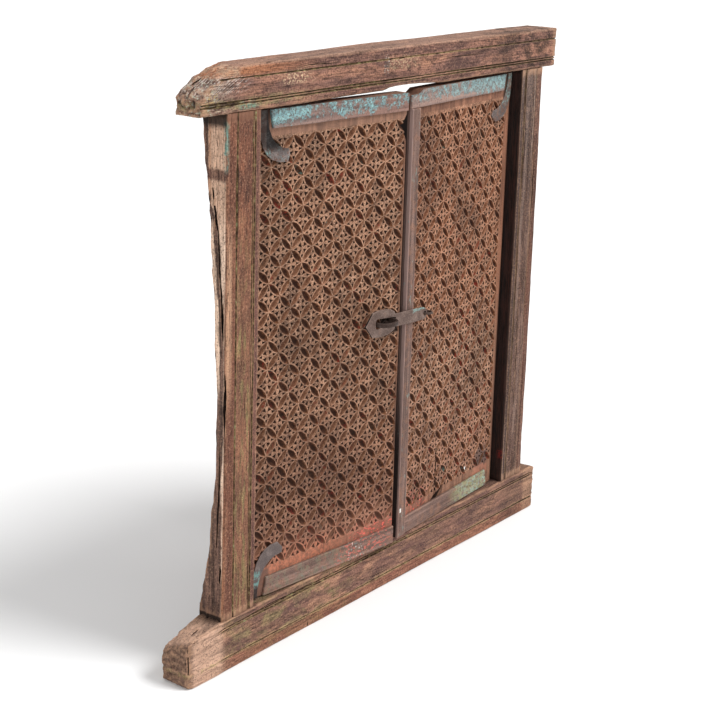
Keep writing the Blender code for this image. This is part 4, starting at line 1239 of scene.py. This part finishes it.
def torn_end(place, normal):
    """The lintel's broken left end, where it faces up and out, but not its top face."""
    bare = rise_to(normal.z - normal.x + abs(normal.y) * 0.2, 0.25, 0.7)
    below_top = rise_to(0.9775 - place.z + max(0, -normal.x) * 0.01, 0, 0.002)
    return rise_to(-place.x, 0.345, 0.40) * bare * below_top


def knotty_horn(place, normal):
    """The sill's left horn, most where it faces up and out, and not its underside."""
    bare = 0.35 + 0.65 * rise_to(normal.z - normal.x, 0, 0.6)
    return rise_to(-place.x, 0.455, 0.49) * bare * rise_to(place.z, 0.004, 0.02)


def worn_end(place, normal):
    """The sill's right end, but not its underside."""
    return rise_to(place.x, 0.478, 0.498) * rise_to(place.z, 0.004, 0.02)


def left_bark(place, normal):
    """The left jamb's bark side, behind its face and under the lintel."""
    bare = rise_to(-normal.x + normal.y * 0.5, 0.3, 0.7)
    return bare * rise_to(place.y, -0.022, 0.0) * rise_to(0.905 - place.z, 0, 0.02)


def rotten_foot(place, normal):
    """The outer part of the left jamb's foot, which stands clear of the sill."""
    outside = rise_to(-place.x + place.y * 0.5, 0.425, 0.445)
    return rise_to(0.108 - place.z, 0, 0.016) * outside * rise_to(-normal.z, 0.3, 0.8)


def right_bark(place, normal):
    """The right jamb's outer side, between the sill and the lintel."""
    bare = rise_to(normal.x + normal.y * 0.5, 0.3, 0.7)
    return bare * rise_to(0.905 - place.z, 0, 0.02) * rise_to(place.z, 0.092, 0.11)


# Which way a crack's face looks.
AHEAD = (0, -1, 0)
LEFTWARDS = (-1, 0, 0)

lintel = timber("lintel", 0, FASCIA_TONES, LINTEL_GROOVES, lintel_zones)
torn = weigh(lintel, "torn", torn_end)
push(lintel, cloud("bundles", 1.0, 1), 0.018, "X", (0.30, 0.015, 0.012), torn)
push(lintel, cloud("shivers", 1.0, 2), 0.0055, "Z", (0.03, 0.007, 0.008), torn)
weather(lintel, 0)
cracks(lintel, (
    ((-0.514, 0.000, 0.939), (-0.450, -0.004, 0.963), (-0.5, -0.2, 1), 0.0024, 0.016, 5.0),
    ((-0.492, -0.010, 0.930), (-0.470, -0.012, 0.944), (-0.5, -0.4, 1), 0.0020, 0.012, 5.0),
    ((-0.478, -0.022, 0.943), (-0.408, -0.026, 0.970), (-0.4, -0.5, 1), 0.0014, 0.008, 3.0),
    ((-0.450, 0.014, 0.958), (-0.37, 0.012, 0.974), (-0.2, 0, 1), 0.0012, 0.008, 4.0),
    ((-0.440, 0.012, 0.955), (-0.420, 0.008, 0.978), (-0.3, -1, 0.3), 0.0030, 0.012, 4.0),
    ((-0.30, -0.030, 0.9655), (-0.16, -0.030, 0.9650), AHEAD, 0.0008, 0.004),
    ((0.10, -0.030, 0.9480), (0.24, -0.030, 0.9500), AHEAD, 0.0007, 0.004),
    ((0.30, 0.004, 0.979), (0.48, 0.000, 0.979), (0, 0, 1), 0.0010, 0.006),
))

sill = timber("sill", 0, SILL_TONES, SILL_GROOVES, sill_zones)
knotty = weigh(sill, "knotty", knotty_horn)
push(sill, cloud("knots", 1.0, 2), 0.010, "NORMAL", (0.040, 0.020, 0.020), knotty)
push(sill, cloud("bumps", 1.0, 2), 0.004, "NORMAL", (0.010, 0.007, 0.007), knotty)
ends = weigh(sill, "ends", worn_end)
push(sill, cloud("scallops", 1.0, 1), 0.009, "X", (0.05, 0.03, 0.009), ends)
weather(sill, 0, 0.0014, 0.0020)
cracks(sill, (
    ((-0.5325, -0.027, 0.080), (-0.5285, -0.0285, 0.010), (-1, -0.8, 0), 0.0010, 0.006),
    ((-0.53, -0.006, 0.068), (-0.46, -0.002, 0.089), (-0.3, 0, 1), 0.0012, 0.006),
    ((-0.42, -0.030, 0.0790), (-0.20, -0.030, 0.0795), AHEAD, 0.0009, 0.004),
    ((-0.10, -0.030, 0.030), (0.02, -0.030, 0.031), AHEAD, 0.0007, 0.003),
    ((-0.2315, -0.030, 0.0005), (-0.2315, -0.030, 0.011), AHEAD, 0.0012, 0.010),
))

left_jamb = timber("left_jamb", 2, JAMB_TONES, JAMB_GROOVES, left_jamb_zones, left_jamb_painted_shade)
bark = weigh(left_jamb, "bark", left_bark)
push(left_jamb, cloud("bark_layers", 1.0, 3), 0.0085, "NORMAL", (0.008, 0.006, 0.10), bark)
push(left_jamb, cloud("bark_scraps", 1.0, 2), 0.0040, "NORMAL", (0.006, 0.005, 0.020), bark)
foot = weigh(left_jamb, "foot", rotten_foot)
push(left_jamb, cloud("rot", 1.0, 2), 0.012, "Z", (0.008, 0.008, 0.05), foot)
weather(left_jamb, 2)
cracks(left_jamb, (
    ((-0.449, 0.004, 0.800), (-0.449, -0.012, 0.715), LEFTWARDS, 0.0020, 0.016),
    ((-0.449, -0.0085, 0.745), (-0.449, -0.0175, 0.635), LEFTWARDS, 0.0024, 0.022),
    ((-0.449, -0.0150, 0.660), (-0.449, -0.0265, 0.530), LEFTWARDS, 0.0026, 0.022),
    ((-0.449, 0.0240, 0.0950), (-0.449, -0.0200, 0.0915), LEFTWARDS, 0.0026, 0.012),
    ((-0.449, -0.0255, 0.520), (-0.449, -0.0275, 0.400), LEFTWARDS, 0.0022, 0.016),
    ((-0.449, -0.0190, 0.400), (-0.449, -0.0120, 0.180), LEFTWARDS, 0.0020, 0.014),
    ((-0.449, -0.0240, 0.260), (-0.449, -0.0190, 0.085), LEFTWARDS, 0.0024, 0.016),
    ((-0.446, 0.0020, 0.300), (-0.446, 0.0060, 0.085), (-1, 0.3, 0), 0.0024, 0.014),
    ((-0.449, -0.0060, 0.560), (-0.449, -0.0080, 0.420), (-1, 0.1, 0), 0.0016, 0.012),
    ((-0.4155, -0.030, 0.560), (-0.4165, -0.030, 0.470), AHEAD, 0.0009, 0.004),
    ((-0.4050, -0.030, 0.500), (-0.4060, -0.030, 0.400), AHEAD, 0.0009, 0.004),
))

right_jamb = timber("right_jamb", 2, RIGHT_JAMB_TONES, JAMB_GROOVES, right_jamb_zones, right_jamb_shade_and_patch)
bark = weigh(right_jamb, "bark", right_bark)
push(right_jamb, cloud("bark_layers", 1.0, 3), 0.0060, "NORMAL", (0.010, 0.008, 0.060), bark)
weather(right_jamb, 2, 0.0022, 0.0024)
cracks(right_jamb, (
    ((0.396, -0.030, 0.860), (0.394, -0.030, 0.640), AHEAD, 0.0014, 0.006),
    ((0.420, -0.030, 0.900), (0.419, -0.030, 0.700), AHEAD, 0.0012, 0.006),
    ((0.434, -0.030, 0.780), (0.432, -0.030, 0.520), AHEAD, 0.0014, 0.006),
    ((0.405, -0.030, 0.480), (0.407, -0.030, 0.220), AHEAD, 0.0012, 0.006),
))

for piece, node, slot in (
    (lintel, "lintel", "frame_wood"), (sill, "sill", "frame_wood"),
    (left_jamb, "left_jamb", "jamb_wood"), (right_jamb, "right_jamb", "jamb_wood"),
):
    smooth(piece, 50)
    stand_for(piece, node, "frame", slot)


# The split in the right board, between two points of its face.
split_head = leaf_matrix("right") @ Vector((-0.2190, FACE, 0.158))
split_foot = leaf_matrix("right") @ Vector((-0.2100, FACE, 0.006))
crack(right_board, split_head, split_foot, (-0.07, -1, 0), 0.0015, 0.014, 0.8, 0.002)


# Battens, strip and ironwork.

def plate(node, name, body, slot, material, step_size=0.004, rough=0.0008, bevel=0.0008):
    """A batten, strip or strap: its solid eased, sliced and made uneven."""
    piece = copy_of(node, name)
    if bevel:
        work(piece, "BEVEL", width=bevel, segments=2, limit_method="ANGLE", angle_limit=math.radians(40))
    take_up(piece)
    for axis in range(3):
        slice_up(piece, axis, step_size)
    pick_all()
    bpy.ops.mesh.quads_convert_to_tris()
    put_down()
    push(piece, cloud("uneven", 0.014, 2), rough)
    smooth(piece, 40)
    wear_finish(piece, material)
    stand_for(piece, node, body, slot)
    return piece


for node, name, slot, material in (
    ("left_leaf_top_batten", "left_head_batten", "painted_wood", painted_finish("left")),
    ("right_leaf_top_batten", "right_head_batten", "painted_wood", painted_finish("right")),
    ("left_leaf_bottom_batten", "left_foot_batten", "grey_wood",
     batten_finish("left_grey_batten", "left", (0, 0, 0), left_foot_paints)),
    ("right_leaf_bottom_batten", "right_foot_batten", "grey_wood",
     batten_finish("right_grey_batten", "right", (0, 0, 0), right_foot_paints)),
    ("meeting_strip", "meeting_bead", "grey_wood",
     batten_finish("grey_strip", "right", UPRIGHT, strip_paint_and_light)),
):
    side = "left" if name.startswith("left") else "right"
    plate(node, name, f"{side}_leaf_body", slot, material)
left_iron = iron_finish(
    "old_iron_left", "left", 0.4, (132, 128, 128), (0.705, 0.740, 0.10), marks=left_strap_marks)
right_iron = iron_finish(
    "old_iron_right", "right", 0.3, (108, 106, 108), (0.735, 0.765, 0.12), marks=right_strap_marks)
hasp_iron = iron_finish("old_iron_hasp", "right", 0.45, (116, 92, 82), (0.4200, 0.4262, 0.17), -0.345)
staple_iron = iron_finish("rusty_iron", "left", 0.85, (52, 36, 30))
# Near-black iron: painted shade for the hasp's thin left edge.
painted_shade_iron = iron_finish("painted_shade_iron", "left", 0.93, (18, 13, 12))
for node, name, side, material, step_size, rough, bevel in (
    ("left_top_strap", "left_head_strap", "left", left_iron, 0.003, 0.0005, 0.0004),
    ("right_top_strap", "right_head_strap", "right", right_iron, 0.003, 0.0005, 0.0004),
    ("left_bottom_strap", "left_foot_strap", "left", left_iron, 0.003, 0.0005, 0.0004),
    ("hasp_staple", "staple_bow", "left", staple_iron, 0.002, 0.0003, 0.0004),
    ("hasp_ring", "ring_eye", "right", staple_iron, 0.002, 0.0002, 0),
):
    plate(node, name, f"{side}_leaf_body", "old_iron", material, step_size, rough, bevel)
hasp = plate("hasp", "hasp_plate", "hasp_body", "old_iron", hasp_iron, 0.003, 0.0003, 0.0005)


def faces_left(centre, normal):
    """The hasp's thin left edge, which lies in the dark, painted near-black as shade."""
    return normal.x < -0.45


second_finish(hasp, painted_shade_iron, faces_left)


# Floor, light and camera.

# The floor's width, the light of the sky, what the lamps point at, and how the camera stands.
FLOOR_SIZE = 120
SKY = 0.62
AIM = (0, 0, 0.5)
FOCAL_LENGTH = 82.55
STAND = (-2.2720, -1.6440, 1.2751)
TURN = [math.radians(angle) for angle in (75.527, -1.706, -52.79)]


def floor_finish():
    material, shader, where = finish_for("pale_floor")
    shade = spots(where, 3.0, 2.0)
    coat(shader, layer(shade, (0.86, 0.86, 0.86, 1), (0.90, 0.90, 0.90, 1)), 0.9)
    return material


deselect()
bpy.ops.mesh.primitive_plane_add(size=FLOOR_SIZE)
floor = bpy.context.object
floor.name = "floor"
wear_finish(floor, floor_finish())

world = bpy.data.worlds.new("studio")
world.use_nodes = True
background = world.node_tree.nodes["Background"].inputs
background["Color"].default_value = (1, 1, 1, 1)
background["Strength"].default_value = SKY
bpy.context.scene.world = world


def soft_sun(name, place, softness, strength):
    """An even light from far away, as soft as its angle is wide, that shines from a place to AIM."""
    light = bpy.data.lights.new(name, "SUN")
    light.angle = math.radians(softness)
    light.energy = strength
    lamp = bpy.data.objects.new(name, light)
    bpy.context.scene.collection.objects.link(lamp)
    lamp.location = place
    lamp.rotation_euler = (Vector(AIM) - Vector(place)).to_track_quat("-Z", "Y").to_euler()


soft_sun("key", (1.0, -2.3, 3.6), 26, 2.6)
soft_sun("fill", (-3.2, -0.9, 2.0), 60, 0.95)

lens = bpy.data.cameras.new("camera")
lens.sensor_width = 36
lens.lens = FOCAL_LENGTH
lens.shift_y = -0.1
camera = bpy.data.objects.new("camera", lens)
bpy.context.scene.collection.objects.link(camera)
camera.location = STAND
camera.rotation_euler = TURN
bpy.context.scene.camera = camera
bpy.context.scene.view_settings.view_transform = "Standard"
